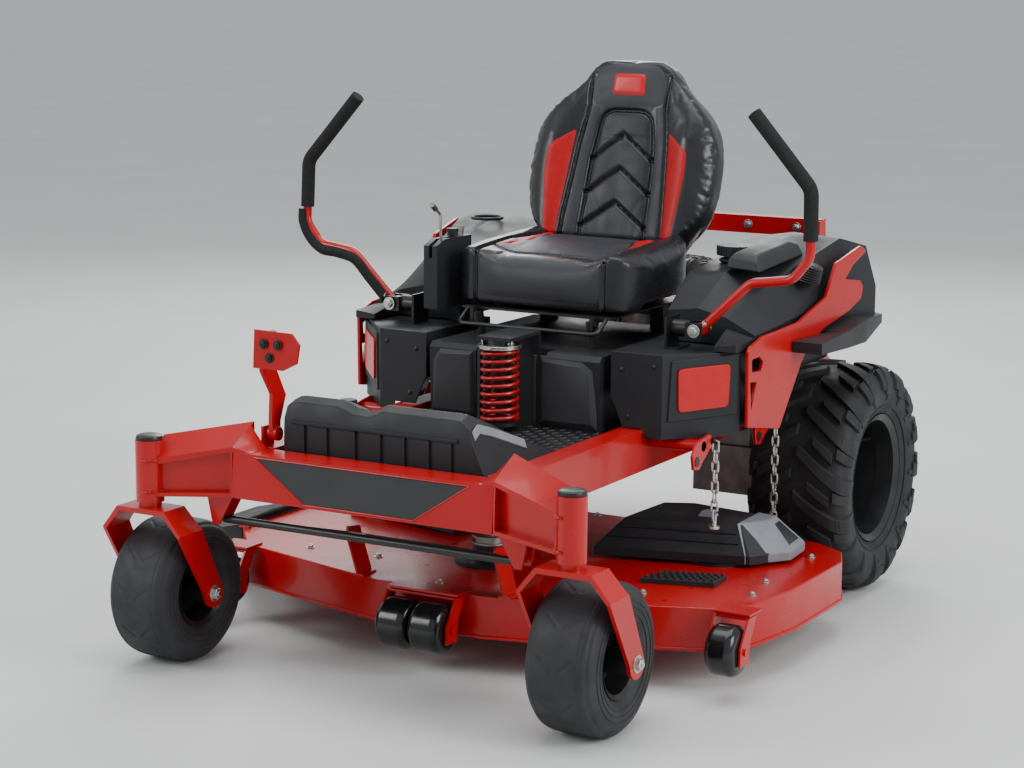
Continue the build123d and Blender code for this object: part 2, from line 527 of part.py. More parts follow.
seat_plate.part.label = "seat_plate"
export_step(seat_plate.part, "parts/seat_plate.step")

CUSHION_LOW = PLATE_Z + 23
with BuildPart() as seat_cushion:
    with BuildSketch(level(CUSHION_LOW)) as cushion_plan:
        with BuildLine():
            Polyline((-246, -150), (246, -150), (252, 60), (232, 232), (-232, 232), (-252, 60), close=True)
        make_face()
        fillet(cushion_plan.vertices(), radius=55)
    extrude(amount=135)
    chamfer(seat_cushion.edges().group_by(Axis.Z)[-1], length=18)
    chamfer(seat_cushion.edges().group_by(Axis.Z)[0], length=14)
seat_cushion.part.label = "seat_cushion"
export_step(seat_cushion.part, "parts/seat_cushion.step")

BACK_PLANE = Plane(origin=machine(0, 210, 900), x_dir=(1, 0, 0), z_dir=(0, -430, 120))
BACK_HALF = [(150, -105), (196, 0), (252, 60), (262, 185), (244, 290), (158, 380), (98, 448), (76, 460)]
with BuildPart() as seat_back:
    slab(BACK_HALF + [(-u, v) for u, v in reversed(BACK_HALF)], BACK_PLANE, -92)
    chamfer(seat_back.faces().sort_by(lambda f: f.center().Y)[0].edges(), length=12)
    block((-262, 262), (60, 233), (700, 912), mode=Mode.SUBTRACT)
    block((-116, 116), (236, 300), (PLATE_Z + 5, 860))
seat_back.part.label = "seat_back"
export_step(seat_back.part, "parts/seat_back.step")

# Motion levers -------------------------------------------------------------------------------------
LEVER_PIVOT = (419.0, -125.0, 744.0)
LEVER_R, GRIP_R, PIN_R = 11.0, 17.0, 8.0
LEVER_BEND = 45.0
LEVER_PATH = [(430, -125, 752), (545, -121, 862), (648, -119, 876), (690, -118, 930), (686, -114, 1085),
              (546, -110, 1243)]
GRIP_START = (689.0, -117.0, 968.0)
GRIP_BORE_END = (545.4, -110.0, 1243.7)
GRIP_TIP = (538.7, -109.8, 1251.2)
GRIP_GAP = 0.4
with BuildPart() as lever_mounts:
    block((345, 351), (-160, -90), (POD_TOP, 772))
    block((345, 380), (-160, -90), (POD_TOP, POD_TOP + 5))
    disc(side_at(351), LEVER_PIVOT[1:], 10, 44)
    mirror(about=SIDE)
lever_mounts.part.label = "lever_mounts"
export_step(lever_mounts.part, "parts/lever_mounts.step")

for name, sign in SIDES:
    px, py, pz = sign * LEVER_PIVOT[0], LEVER_PIVOT[1], LEVER_PIVOT[2]
    path = [(sign * x, y, z) for x, y, z in LEVER_PATH]
    with BuildPart() as lever_bracket:
        disc(side_at(sign * 352), (py, pz), 20, sign * 46)
        block(sorted((sign * 398, sign * 436)), (py - 27, py + 27), (pz - 18, pz + 18))
        block(sorted((sign * 396, sign * 437)), (py - 19, py + 19), (pz - 19, pz + 19), mode=Mode.SUBTRACT)
        block(sorted((sign * 394, sign * 398)), (py - 27, py + 27), (pz - 18, pz + 18))
        disc(side_at(sign * 352), (py, pz), 10 + RUNNING, sign * 44, mode=Mode.SUBTRACT)
        disc(front_at(py + 32), (px, pz), PIN_R, 64)
    lever_bracket.part.label = f"lever_bracket_{name}"
    export_step(lever_bracket.part, f"parts/lever_bracket_{name}.step")

    with BuildPart() as lever:
        disc(front_at(py + 18.5), (px, pz), 15, 37)
        bent_rod(path, LEVER_BEND, LEVER_R)
        disc(front_at(py + 18.5), (px, pz), PIN_R + RUNNING, 37, mode=Mode.SUBTRACT)
    lever.part.label = f"lever_{name}"
    export_step(lever.part, f"parts/lever_{name}.step")

    with BuildPart() as lever_grip:
        start, bore_end, tip = [(sign * x, y, z) for x, y, z in (GRIP_START, GRIP_BORE_END, GRIP_TIP)]
        bent_rod([start, path[-2], tip], LEVER_BEND, GRIP_R)
        bent_rod([start, path[-2], bore_end], LEVER_BEND, LEVER_R + GRIP_GAP, mode=Mode.SUBTRACT)
    lever_grip.part.label = f"lever_grip_{name}"
    export_step(lever_grip.part, f"parts/lever_grip_{name}.step")

# Mower deck ----------------------------------------------------------------------------------------
DECK_OUTLINE = [(DECK_LEFT, -230), (DECK_LEFT, 60), (682, 150), (600, 205), (-600, 205), (-672, 150),
                (DECK_RIGHT, 60), (DECK_RIGHT, -400), (-590, -530), (-300, -608), (-140, -650), (140, -650),
                (300, -608), (560, -505), (640, -475), (692, -400)]
DECK_INSIDE = [(DECK_LEFT - 4, -229), (DECK_LEFT - 4, 58), (679, 147), (598, 201), (-598, 201), (-669, 147),
               (DECK_RIGHT + 4, 58), (DECK_RIGHT + 4, -398), (-588, -526), (-299, -604), (-139, -646),
               (139, -646), (299, -604), (558, -501), (638, -471), (688, -399)]
CHUTE_FRONT, CHUTE_REAR = -385.0, -20.0
with BuildPart() as deck_shell:
    slab(DECK_OUTLINE, level(DECK_LOW), DECK_TOP - DECK_LOW)
    slab(DECK_INSIDE, level(DECK_LOW), DECK_TOP - DECK_LOW - DECK_WALL, mode=Mode.SUBTRACT)
    block((DECK_RIGHT - 5, DECK_RIGHT + 60), (CHUTE_FRONT + 10, CHUTE_REAR - 10), (DECK_LOW, DECK_TOP - 12),
          mode=Mode.SUBTRACT)
    for centre in BLADES.values():
        disc(level(DECK_TOP - DECK_WALL), centre, 30, DECK_WALL, mode=Mode.SUBTRACT)
deck_shell.part.label = "deck_shell"
export_step(deck_shell.part, "parts/deck_shell.step")

SPINDLE_TOP = 258.0
with BuildPart() as spindle_housings:
    for centre in BLADES.values():
        disc(level(DECK_TOP), centre, 85, 8)
        disc(level(DECK_TOP - 40), centre, 29, 40)
        disc(level(DECK_TOP + 8), centre, 42, 38)
        disc(level(DECK_TOP - 40), centre, SPINDLE_R + RUNNING, 86, mode=Mode.SUBTRACT)
spindle_housings.part.label = "spindle_housings"
export_step(spindle_housings.part, "parts/spindle_housings.step")

for name, (x, y) in BLADES.items():
    with BuildPart() as blade:
        disc(level(BLADE_Z - 8), (x, y), SPINDLE_R, SPINDLE_TOP - BLADE_Z + 8)
        slab([(x - BLADE_R, y - 30), (x + BLADE_R, y - 30), (x + BLADE_R, y + 30), (x - BLADE_R, y + 30)],
             level(BLADE_Z), 6)
        for end in (-1, 1):
            slab([(y + 12 * end, BLADE_Z + 6), (y + 30 * end, BLADE_Z + 6), (y + 30 * end, BLADE_Z + 26)],
                 side_at(x + end * (BLADE_R - 90)), end * 88)
        disc(level(BLADE_Z + 6), (x, y), 26, DECK_TOP - 41 - BLADE_Z - 6)
        hexagon(level(BLADE_Z - 22), (x, y), 15, 14)
        disc(level(SPINDLE_TOP - 26), (x, y), 44, 4)
        disc(level(SPINDLE_TOP - 22), (x, y), 35, 12)
        disc(level(SPINDLE_TOP - 10), (x, y), 44, 4)
    blade.part.label = f"blade_{name}"
    export_step(blade.part, f"parts/blade_{name}.step")

PTO_CENTRE = (0.0, 590.0)
PTO_LOW = 400.0
with BuildPart() as pto_pulley:
    disc(level(PTO_LOW), PTO_CENTRE, 66, 6)
    disc(level(PTO_LOW + 6), PTO_CENTRE, 54, 13)
    disc(level(PTO_LOW + 19), PTO_CENTRE, 66, 6)
    disc(level(PTO_LOW + 25), PTO_CENTRE, 72, 55)
    disc(level(PTO_LOW), PTO_CENTRE, 14 + RUNNING, 80, mode=Mode.SUBTRACT)
pto_pulley.part.label = "pto_pulley"
export_step(pto_pulley.part, "parts/pto_pulley.step")

COVER_BASE = [(196, -216), (560, -122), (618, -20), (606, 78), (300, 110), (210, 60)]
COVER_TOP = [(250, -160), (520, -90), (560, -20), (552, 28), (330, 62), (262, 30)]
with BuildPart() as belt_covers:
    for side, sign in SIDES:
        span(level(DECK_TOP + 8.5), flip(COVER_BASE, sign), level(DECK_TOP + 30), flip(COVER_BASE, sign))
        span(level(DECK_TOP + 30), flip(COVER_BASE, sign), level(DECK_TOP + 96), flip(COVER_TOP, sign))
        inner_base = [(sign * (400 + (x - 400) * 0.975), -40 + (y + 40) * 0.955) for x, y in COVER_BASE]
        inner_top = [(sign * (400 + (x - 400) * 0.965), -40 + (y + 40) * 0.935) for x, y in COVER_TOP]
        span(level(DECK_TOP + 8.5), inner_base, level(DECK_TOP + 30), inner_base, mode=Mode.SUBTRACT)
        span(level(DECK_TOP + 30), inner_base, level(DECK_TOP + 92), inner_top, mode=Mode.SUBTRACT)
belt_covers.part.label = "belt_covers"
export_step(belt_covers.part, "parts/belt_covers.step")

# Anti-scalp rollers turn on bolts held by forward brackets.
ROLLER_R, ROLLER_BORE = 58.0, 8.0
ROLLERS = {"centre": (8.0, -714.0, 114.0, 86.0), "left": (690.0, -528.0, 112.0, 36.0),
           "right": (-600.0, -604.0, 112.0, 36.0)}
CHUTE_PIN = (-706.0, 196.5)
with BuildPart() as deck_brackets:
    for x, y, z, half in ROLLERS.values():
        for end in (-1, 1):
            plate_x = x + end * (half + 4)
            slab([(y - 22, z - 30), (y + 22, z - 30), (y + 30, z + 20), (y + 62, DECK_TOP - 2),
                  (y + 20, DECK_TOP - 2), (y - 22, z + 10)], side_at(plate_x - 2.5), 5)
        disc(side_at(x), (y, z), ROLLER_BORE - RUNNING, 2 * half + 22, both=True)
        block((x - half - 6, x + half + 6), (y + 24, y + 90), (DECK_TOP, DECK_TOP + 5))
        block((x - half - 6, x + half + 6), (y + 20, y + 60), (DECK_TOP - 7, DECK_TOP - 2))
    for side, sign in SIDES:
        slab([(-648, 190), (-590, 190), (-640, 306), (-688, 312), (-690, 290)], side_at(sign * 192),
             sign * 6)
        block(sorted((sign * 180, sign * 210)), (-645, -590), (DECK_TOP, DECK_TOP + 5))
    disc(front_at(CHUTE_FRONT - 16), CHUTE_PIN, 5, CHUTE_FRONT - CHUTE_REAR - 32)
    for y in (CHUTE_FRONT - 14, CHUTE_REAR + 8):
        block((CHUTE_PIN[0] - 7, DECK_RIGHT + 20), (y, y + 6), (DECK_TOP, 202))
deck_brackets.part.label = "deck_brackets"
export_step(deck_brackets.part, "parts/deck_brackets.step")

for name, (x, y, z, half) in ROLLERS.items():
    with BuildPart() as roller:
        drums = [(x - 43, 41), (x + 43, 41)] if name == "centre" else [(x, 35)]
        for drum_x, drum_half in drums:
            disc(side_at(drum_x), (y, z), ROLLER_R, 2 * drum_half, both=True)
        fillet(roller.edges().filter_by(GeomType.CIRCLE), radius=20)
        if name == "centre":
            disc(side_at(x), (y, z), 20, 20, both=True)
        disc(side_at(x), (y, z), ROLLER_BORE, 2 * half, both=True, mode=Mode.SUBTRACT)
    roller.part.label = f"roller_{name}"
    export_step(roller.part, f"parts/roller_{name}.step")

with BuildPart() as discharge_chute:
    slab([(-712, 190), (-712, 182), (-930, 128), (CHUTE_OUT, 96), (CHUTE_OUT, 104), (-930, 136)],
         front_at(CHUTE_FRONT), CHUTE_FRONT - CHUTE_REAR)
    for y in (CHUTE_FRONT, CHUTE_REAR - 5):
        slab([(-712, 186), (-930, 132), (CHUTE_OUT, 100), (-930, 92), (-735, 110), (-712, 140)],
             front_at(y), -5)
    disc(front_at(CHUTE_FRONT), (CHUTE_PIN[0], CHUTE_PIN[1]), 10, CHUTE_FRONT - CHUTE_REAR)
    disc(front_at(CHUTE_FRONT), (CHUTE_PIN[0], CHUTE_PIN[1]), 5 + RUNNING, CHUTE_FRONT - CHUTE_REAR,
         mode=Mode.SUBTRACT)
discharge_chute.part.label = "discharge_chute"
export_step(discharge_chute.part, "parts/discharge_chute.step")

# The front link is a pressed A plate hung from the nose brackets; its rear end carries the deck.
LINK_Y, LINK_Z, LINK_R = -906.0, 352.0, 9.0
with BuildPart() as deck_link:
    disc(side_at(-380), (LINK_Y, LINK_Z), LINK_R, 760)
    slab([(-365, 0), (365, 0), (365, 26), (-365, 26)],
         Plane(origin=machine(0, LINK_Y + 8, LINK_Z - 3), x_dir=(1, 0, 0), z_dir=(0, 0.25, 1)), 5)
    for side, sign in SIDES:
        slab(flip([(365, 20), (330, 20), (150, 196), (186, 196)], sign),
             Plane(origin=machine(0, LINK_Y + 8, LINK_Z - 3), x_dir=(1, 0, 0), z_dir=(0, 0.25, 1)), 5)
        slab(flip([(40, 20), (0, 20), (140, 196), (186, 196)], sign),
             Plane(origin=machine(0, LINK_Y + 8, LINK_Z - 3), x_dir=(1, 0, 0), z_dir=(0, 0.25, 1)), 5)
    slab([(-186, 180), (186, 180), (186, 205), (-186, 205)],
         Plane(origin=machine(0, LINK_Y + 8, LINK_Z - 3), x_dir=(1, 0, 0), z_dir=(0, 0.25, 1)), 5)
deck_link.part.label = "deck_link"
export_step(deck_link.part, "parts/deck_link.step")

# Lift pedal on the right rail and the cutting height dial behind it.
PEDAL_PIVOT = (-838.0, 545.0)
PEDAL_X = -288.0
with BuildPart() as lift_pedal:
    slab([(-852, 538), (-824, 538), (-822, 572), (-800, 628), (-835, 690), (-835, 778), (-882, 784),
          (-889, 694), (-852, 637), (-856, 574)], side_at(PEDAL_X - 5), 10)
    disc(side_at(PEDAL_X - 12), PEDAL_PIVOT, 16, 24)
    disc(side_at(PEDAL_X - 12), PEDAL_PIVOT, 8 + RUNNING, 24, mode=Mode.SUBTRACT)
    slab([(PEDAL_X - 18, 0), (PEDAL_X + 62, 0), (PEDAL_X + 98, 18), (PEDAL_X + 104, 60), (PEDAL_X + 82, 84),
          (PEDAL_X - 18, 86)], Plane(origin=machine(0, -888, 700), x_dir=(1, 0, 0), z_dir=(0, -86, 6)), 6)
lift_pedal.part.label = "lift_pedal"
export_step(lift_pedal.part, "parts/lift_pedal.step")

with BuildPart() as frame_fittings:
    block((-RAIL_IN, RAIL_IN), (SHOCK_Y - 25, SHOCK_Y + 25), (424, 452))
    block((PEDAL_X - 24, PEDAL_X - 18), (-858, -815), (RAIL_TOP, 562))
    disc(side_at(PEDAL_X - 24), PEDAL_PIVOT, 8, 38)
    block((-330, -280), (-560, -470), (RAIL_TOP, RAIL_TOP + 6))
    disc(level(RAIL_TOP + 6), (-305, -515), 8, 30)
frame_fittings.part.label = "frame_fittings"
export_step(frame_fittings.part, "parts/frame_fittings.step")

with BuildPart() as height_dial:
    disc(level(RAIL_TOP + 8), (-305, -515), 26, 12)
    disc(level(RAIL_TOP + 20), (-305, -515), 20, 32)
    disc(level(RAIL_TOP + 8), (-305, -515), 8 + RUNNING, 30, mode=Mode.SUBTRACT)
height_dial.part.label = "height_dial"
export_step(height_dial.part, "parts/height_dial.step")
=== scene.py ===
import json
import math

import bmesh
import bpy
from mathutils import Matrix, Vector
from mathutils.bvhtree import BVHTree
from mathutils.geometry import delaunay_2d_cdt


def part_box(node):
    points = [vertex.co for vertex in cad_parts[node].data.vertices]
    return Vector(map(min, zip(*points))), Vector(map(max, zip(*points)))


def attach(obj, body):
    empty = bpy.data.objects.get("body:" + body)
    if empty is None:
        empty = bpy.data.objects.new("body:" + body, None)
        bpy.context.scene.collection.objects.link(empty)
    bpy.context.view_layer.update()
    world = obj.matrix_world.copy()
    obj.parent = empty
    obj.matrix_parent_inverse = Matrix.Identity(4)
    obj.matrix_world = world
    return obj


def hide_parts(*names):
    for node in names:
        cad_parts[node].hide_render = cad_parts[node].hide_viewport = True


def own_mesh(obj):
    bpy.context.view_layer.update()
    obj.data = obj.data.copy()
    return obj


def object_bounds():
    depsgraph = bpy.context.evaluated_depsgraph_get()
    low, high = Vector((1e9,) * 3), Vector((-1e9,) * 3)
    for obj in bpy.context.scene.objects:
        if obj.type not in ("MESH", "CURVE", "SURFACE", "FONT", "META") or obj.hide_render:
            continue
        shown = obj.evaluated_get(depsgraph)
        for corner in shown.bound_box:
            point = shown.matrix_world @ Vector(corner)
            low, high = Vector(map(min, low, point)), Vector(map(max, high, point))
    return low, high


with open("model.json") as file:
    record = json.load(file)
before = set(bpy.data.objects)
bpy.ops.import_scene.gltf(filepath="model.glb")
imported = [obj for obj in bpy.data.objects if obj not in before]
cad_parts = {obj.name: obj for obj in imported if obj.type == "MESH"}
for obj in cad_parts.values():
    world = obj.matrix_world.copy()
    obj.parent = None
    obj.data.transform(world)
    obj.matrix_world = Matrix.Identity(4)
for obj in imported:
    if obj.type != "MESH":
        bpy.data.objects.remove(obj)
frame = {"nodes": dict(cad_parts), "record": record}
CAD_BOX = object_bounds()

# The machine's centre line stands beside X = 0, because the discharge chute widens the right side.
MACHINE_X = (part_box("frame_rails")[0][0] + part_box("frame_rails")[1][0]) / 2
SIDES = (("left", 1), ("right", -1))
UP = Vector((0, 0, 1))
ACROSS = Vector((1, 0, 0))
REARWARD = Vector((0, 1, 0))


def at(x, y, z):
    """A point given in millimetres from the machine's centre line, in the row frame's metres."""
    return Vector((MACHINE_X + x / 1000, y / 1000, z / 1000))


def points_at(places):
    return [at(*place) for place in places]


def mirrored(sign, places):
    """The same points on the machine's left (sign 1) or right (sign -1)."""
    return [at(sign * x, y, z) for x, y, z in places]


def circle(centre, first, second, radius, count):
    """Points round a circle in the plane of two directions."""
    turns = [2 * math.pi * k / count for k in range(count)]
    return [centre + (first * math.cos(turn) + second * math.sin(turn)) * radius for turn in turns]


def low_of(node):
    return Vector(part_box(node)[0])


def high_of(node):
    return Vector(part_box(node)[1])


def middle_of(node):
    return (low_of(node) + high_of(node)) / 2


# Materials -----------------------------------------------------------------------------------------
class Look:
    """A Principled material whose colour, roughness and bump come from 3-D procedural textures."""

    def __init__(self, name, color, roughness, metallic=0.0, coat=0.0, coat_roughness=0.1, shine=0.5):
        self.material = bpy.data.materials.new(name)
        self.material.use_nodes = True
        self.nodes = self.material.node_tree.nodes
        self.links = self.material.node_tree.links
        self.shader = self.nodes["Principled BSDF"]
        self.shader.inputs["Base Color"].default_value = (*color, 1)
        self.shader.inputs["Roughness"].default_value = roughness
        self.shader.inputs["Metallic"].default_value = metallic
        self.shader.inputs["Specular IOR Level"].default_value = shine
        self.shader.inputs["Coat Weight"].default_value = coat
        self.shader.inputs["Coat Roughness"].default_value = coat_roughness
        self.place = self.nodes.new("ShaderNodeTexCoord").outputs["Object"]
        self.color = None
        self.base = color
        self.bump = None

    def texture(self, scale, detail=3.0, cells=False):
        kind = "ShaderNodeTexVoronoi" if cells else "ShaderNodeTexNoise"
        node = self.nodes.new(kind)
        node.inputs["Scale"].default_value = scale
        if not cells:
            node.inputs["Detail"].default_value = detail
        self.links.new(self.place, node.inputs["Vector"])
        return node.outputs["Distance" if cells else "Fac"]

    def ramp(self, value, low, high, bottom=0.0, top=1.0):
        node = self.nodes.new("ShaderNodeMapRange")
        for socket, number in zip(("From Min", "From Max", "To Min", "To Max"), (low, high, bottom, top)):
            node.inputs[socket].default_value = number
        self.links.new(value, node.inputs["Value"])
        return node.outputs["Result"]

    def mix_color(self, share, color):
        node = self.nodes.new("ShaderNodeMix")
        node.data_type = "RGBA"
        self.links.new(share, node.inputs[0])
        if self.color is None:
            node.inputs[6].default_value = (*self.base, 1)
        else:
            self.links.new(self.color, node.inputs[6])
        node.inputs[7].default_value = (*color, 1)
        self.color = node.outputs[2]
        self.links.new(self.color, self.shader.inputs["Base Color"])
        return self

    def mottle(self, scale, color, share=1.0):
        return self.mix_color(self.ramp(self.texture(scale), 0.35, 0.7, 0.0, share), color)

    def dust(self, color, share, scale=9.0):
        """Pale dust lies on faces that look up."""
        normal = self.nodes.new("ShaderNodeNewGeometry").outputs["Normal"]
        parts = self.nodes.new("ShaderNodeSeparateXYZ")
        self.links.new(normal, parts.inputs[0])
        facing = self.ramp(parts.outputs["Z"], 0.5, 1.0, 0.0, share)
        product = self.nodes.new("ShaderNodeMath")
        product.operation = "MULTIPLY"
        self.links.new(facing, product.inputs[0])
        self.links.new(self.ramp(self.texture(scale, 6.0), 0.35, 0.75), product.inputs[1])
        return self.mix_color(product.outputs[0], color)

    def polish(self, scale, low, high):
        value = self.ramp(self.texture(scale, 5.0), 0.3, 0.7, low, high)
        self.links.new(value, self.shader.inputs["Roughness"])
        return self

    def grain(self, scale, strength, depth=0.0004, cells=False, detail=3.0):
        node = self.nodes.new("ShaderNodeBump")
        node.inputs["Strength"].default_value = strength
        node.inputs["Distance"].default_value = depth
        self.links.new(self.texture(scale, detail, cells), node.inputs["Height"])
        if self.bump is not None:
            self.links.new(self.bump, node.inputs["Normal"])
        self.bump = node.outputs["Normal"]
        self.links.new(self.bump, self.shader.inputs["Normal"])
        return self


DUST = (0.22, 0.21, 0.20)
RED = Look("red powder coat", (0.46, 0.0015, 0.0035), 0.32, coat=0.30, coat_roughness=0.10, shine=0.3)
RED.mottle(5, (0.38, 0.001, 0.003), 0.5).dust(DUST, 0.008).polish(14, 0.26, 0.38)
RED.grain(420, 0.10, 0.0003).grain(60, 0.04, 0.001)
BLACK = Look("black powder coat", (0.010, 0.010, 0.011), 0.36, coat=0.2, coat_roughness=0.2, shine=0.35)
BLACK.mottle(12, (0.016, 0.016, 0.018), 0.6).dust(DUST, 0.03).polish(18, 0.30, 0.48)
BLACK.grain(500, 0.12, 0.0003)
PLASTIC = Look("textured black plastic", (0.013, 0.014, 0.017), 0.50, shine=0.34)
PLASTIC.mottle(8, (0.019, 0.020, 0.024), 0.7).dust(DUST, 0.03).polish(11, 0.42, 0.58)
PLASTIC.grain(950, 0.35, 0.0003, cells=True).grain(26, 0.05, 0.002)
PANEL = Look("dark satin panel", (0.030, 0.031, 0.034), 0.42, shine=0.35)
PANEL.mottle(14, (0.040, 0.041, 0.045), 0.6).polish(22, 0.36, 0.50).grain(800, 0.18, 0.0002)
GREY = Look("grey moulded plastic", (0.22, 0.24, 0.27), 0.45, shine=0.4)
GREY.mottle(20, (0.16, 0.175, 0.20), 0.8).dust(DUST, 0.08).polish(15, 0.40, 0.55)
GREY.grain(900, 0.25, 0.0003, cells=True)
GLOSS = Look("polished black roller plastic", (0.006, 0.006, 0.008), 0.14, shine=0.5)
GLOSS.mottle(16, (0.012, 0.012, 0.014), 0.8).polish(30, 0.10, 0.24).grain(140, 0.05, 0.0005)
RUBBER = Look("tyre rubber", (0.013, 0.013, 0.015), 0.66, shine=0.4)
RUBBER.mottle(18, (0.026, 0.026, 0.027), 0.8).dust((0.12, 0.115, 0.11), 0.10, 14).polish(20, 0.56, 0.78)
RUBBER.grain(480, 0.30, 0.0005).grain(60, 0.10, 0.001)
SMOOTH_RUBBER = Look("caster rubber", (0.018, 0.018, 0.021), 0.60, shine=0.4)
SMOOTH_RUBBER.mottle(22, (0.030, 0.030, 0.033), 0.8).dust((0.12, 0.115, 0.11), 0.10, 14)
SMOOTH_RUBBER.polish(24, 0.50, 0.70)
SMOOTH_RUBBER.grain(520, 0.22, 0.0004).grain(40, 0.12, 0.002)
VINYL = Look("black vinyl", (0.009, 0.009, 0.012), 0.28, shine=0.5)
VINYL.mottle(14, (0.014, 0.014, 0.018), 0.7).polish(18, 0.22, 0.36)
VINYL.grain(620, 0.30, 0.0004, cells=True).grain(45, 0.10, 0.0015)
MATT_VINYL = Look("graphite vinyl", (0.026, 0.027, 0.034), 0.46, shine=0.4)
MATT_VINYL.mottle(16, (0.034, 0.035, 0.043), 0.7).polish(24, 0.40, 0.54)
MATT_VINYL.grain(760, 0.40, 0.0004, cells=True).grain(45, 0.08, 0.0015)
CENTRE_VINYL = Look("dark centre vinyl", (0.013, 0.013, 0.016), 0.40, shine=0.4)
CENTRE_VINYL.mottle(20, (0.019, 0.019, 0.023), 0.7).polish(24, 0.34, 0.48)
CENTRE_VINYL.grain(760, 0.4, 0.0004, cells=True)
RED_VINYL = Look("red vinyl", (0.44, 0.002, 0.005), 0.42, shine=0.3)
RED_VINYL.mottle(30, (0.36, 0.0015, 0.004), 0.7).polish(28, 0.34, 0.48)
RED_VINYL.grain(760, 0.35, 0.0004, cells=True)
THREAD = Look("seam thread", (0.055, 0.055, 0.062), 0.7)
THREAD.mottle(400, (0.03, 0.03, 0.035), 0.8).grain(2500, 0.4, 0.0003)
FOAM = Look("grip foam", (0.012, 0.012, 0.013), 0.88, shine=0.3)
FOAM.mottle(90, (0.020, 0.020, 0.020), 0.8).grain(900, 0.7, 0.0007, cells=True).grain(240, 0.35, 0.0006)
SPRING_RED = Look("red spring coat", (0.42, 0.003, 0.005), 0.24, coat=0.4, coat_roughness=0.08)
SPRING_RED.mottle(60, (0.32, 0.002, 0.004), 0.6).polish(60, 0.18, 0.32).grain(500, 0.08, 0.0002)
STEEL = Look("zinc plated steel", (0.62, 0.62, 0.60), 0.26, metallic=1.0)
STEEL.mottle(60, (0.44, 0.43, 0.41), 0.7).polish(90, 0.18, 0.40).grain(700, 0.12, 0.0002)
BLADE_STEEL = Look("bare steel", (0.42, 0.41, 0.40), 0.4, metallic=1.0)
BLADE_STEEL.mottle(24, (0.25, 0.23, 0.21), 0.8).polish(40, 0.32, 0.55).grain(300, 0.15, 0.0003)
CASTING = Look("cast aluminium", (0.42, 0.42, 0.43), 0.55, metallic=1.0)
CASTING.mottle(26, (0.30, 0.30, 0.30), 0.8).polish(30, 0.45, 0.68).grain(420, 0.5, 0.0006)
MUFFLER = Look("heat stained steel", (0.28, 0.25, 0.22), 0.42, metallic=1.0)
MUFFLER.mottle(16, (0.14, 0.12, 0.13), 1.0).polish(24, 0.34, 0.6).grain(260, 0.2, 0.0004)
BADGE = Look("plain red badge", (0.56, 0.006, 0.010), 0.34, coat=0.2, coat_roughness=0.10, shine=0.3)
BADGE.mottle(40, (0.48, 0.005, 0.008), 0.6).polish(50, 0.26, 0.36).grain(900, 0.05, 0.0001)
YELLOW = Look("yellow edge strip", (0.75, 0.42, 0.02), 0.45)
YELLOW.mottle(60, (0.55, 0.30, 0.015), 0.7).polish(50, 0.4, 0.55).grain(600, 0.1, 0.0002)

SLOT_LOOKS = {"red_paint": RED, "black_paint": BLACK, "black_plastic": PLASTIC, "roller_plastic": GLOSS,
              "tyre_rubber": RUBBER, "seat_vinyl": VINYL, "grip_foam": FOAM, "spring_red": SPRING_RED,
              "cast_aluminium": CASTING, "muffler_steel": MUFFLER, "plain_steel": BLADE_STEEL}


def soften(node, width, segments=2):
    """Rounds the hard edges of a CAD node with modifiers, so its mesh stays as it is."""
    piece = frame["nodes"][node]
    weld = piece.modifiers.new("weld", "WELD")
    weld.merge_threshold = 0.00002
    bevel = piece.modifiers.new("bevel", "BEVEL")
    bevel.width = width
    bevel.segments = segments
    bevel.limit_method = "ANGLE"
    bevel.angle_limit = math.radians(28)
    bevel.use_clamp_overlap = True
    bevel.harden_normals = False
    weighted = piece.modifiers.new("normals", "WEIGHTED_NORMAL")
    weighted.keep_sharp = False


def dress_cad():
    """Every CAD node takes the procedural material of its slot."""
    for part in frame["record"]["subparts"]:
        node = frame["nodes"][part["node"]]
        for place in node.material_slots:
            place.material = SLOT_LOOKS[part["material_slot"]].material


# Mesh building -------------------------------------------------------------------------------------
def add_rings(bm, rings, joined=False):
    """Skins a row of closed rings; the ends are capped unless the row itself is joined."""
    made = [[bm.verts.new(point) for point in ring] for ring in rings]
    pairs = list(zip(made, made[1:]))
    if joined:
        pairs.append((made[-1], made[0]))
    for first, second in pairs:
        count = len(first)
        for i in range(count):
            j = (i + 1) % count
            bm.faces.new((first[i], first[j], second[j], second[i]))
    if not joined:
        bm.faces.new(list(reversed(made[0])))
        bm.faces.new(made[-1])


def add_prism(bm, outline, push):
    add_rings(bm, [outline, [point + push for point in outline]])


def add_box(bm, low, high):
    outline = [Vector((low[0], low[1], low[2])), Vector((high[0], low[1], low[2])),
               Vector((high[0], high[1], low[2])), Vector((low[0], high[1], low[2]))]
    add_prism(bm, outline, Vector((0, 0, high[2] - low[2])))


def side_axes(direction):
    """Two unit vectors square to a direction."""
    direction = direction.normalized()
    helper = UP if abs(direction.z) < 0.9 else ACROSS
    first = direction.cross(helper).normalized()
    return first, direction.cross(first)


def add_turned(bm, base, direction, profile, sides=32, turn=0.0):
    """A turned solid: profile rows are (distance along the axis, radius)."""
    first, second = side_axes(direction)
    direction = direction.normalized()
    rings = []
    for along, radius in profile:
        ring = []
        for i in range(sides):
            angle = turn + 2 * math.pi * i / sides
            out = first * math.cos(angle) + second * math.sin(angle)
            ring.append(base + direction * along + out * radius)
        rings.append(ring)
    add_rings(bm, rings)


def add_bolt(bm, base, direction, size, height=None):
    """A washer, a chamfered hexagonal head and the rounded end of the thread."""
    height = height or size * 0.9
    add_turned(bm, base, direction, [(0, size * 1.45), (size * 0.2, size * 1.45)], 24)
    add_turned(bm, base, direction, [(size * 0.2, size), (height * 0.85, size), (height, size * 0.86)], 6)
    add_turned(bm, base, direction, [(height * 0.9, size * 0.5), (height + size * 0.25, size * 0.46)], 14)


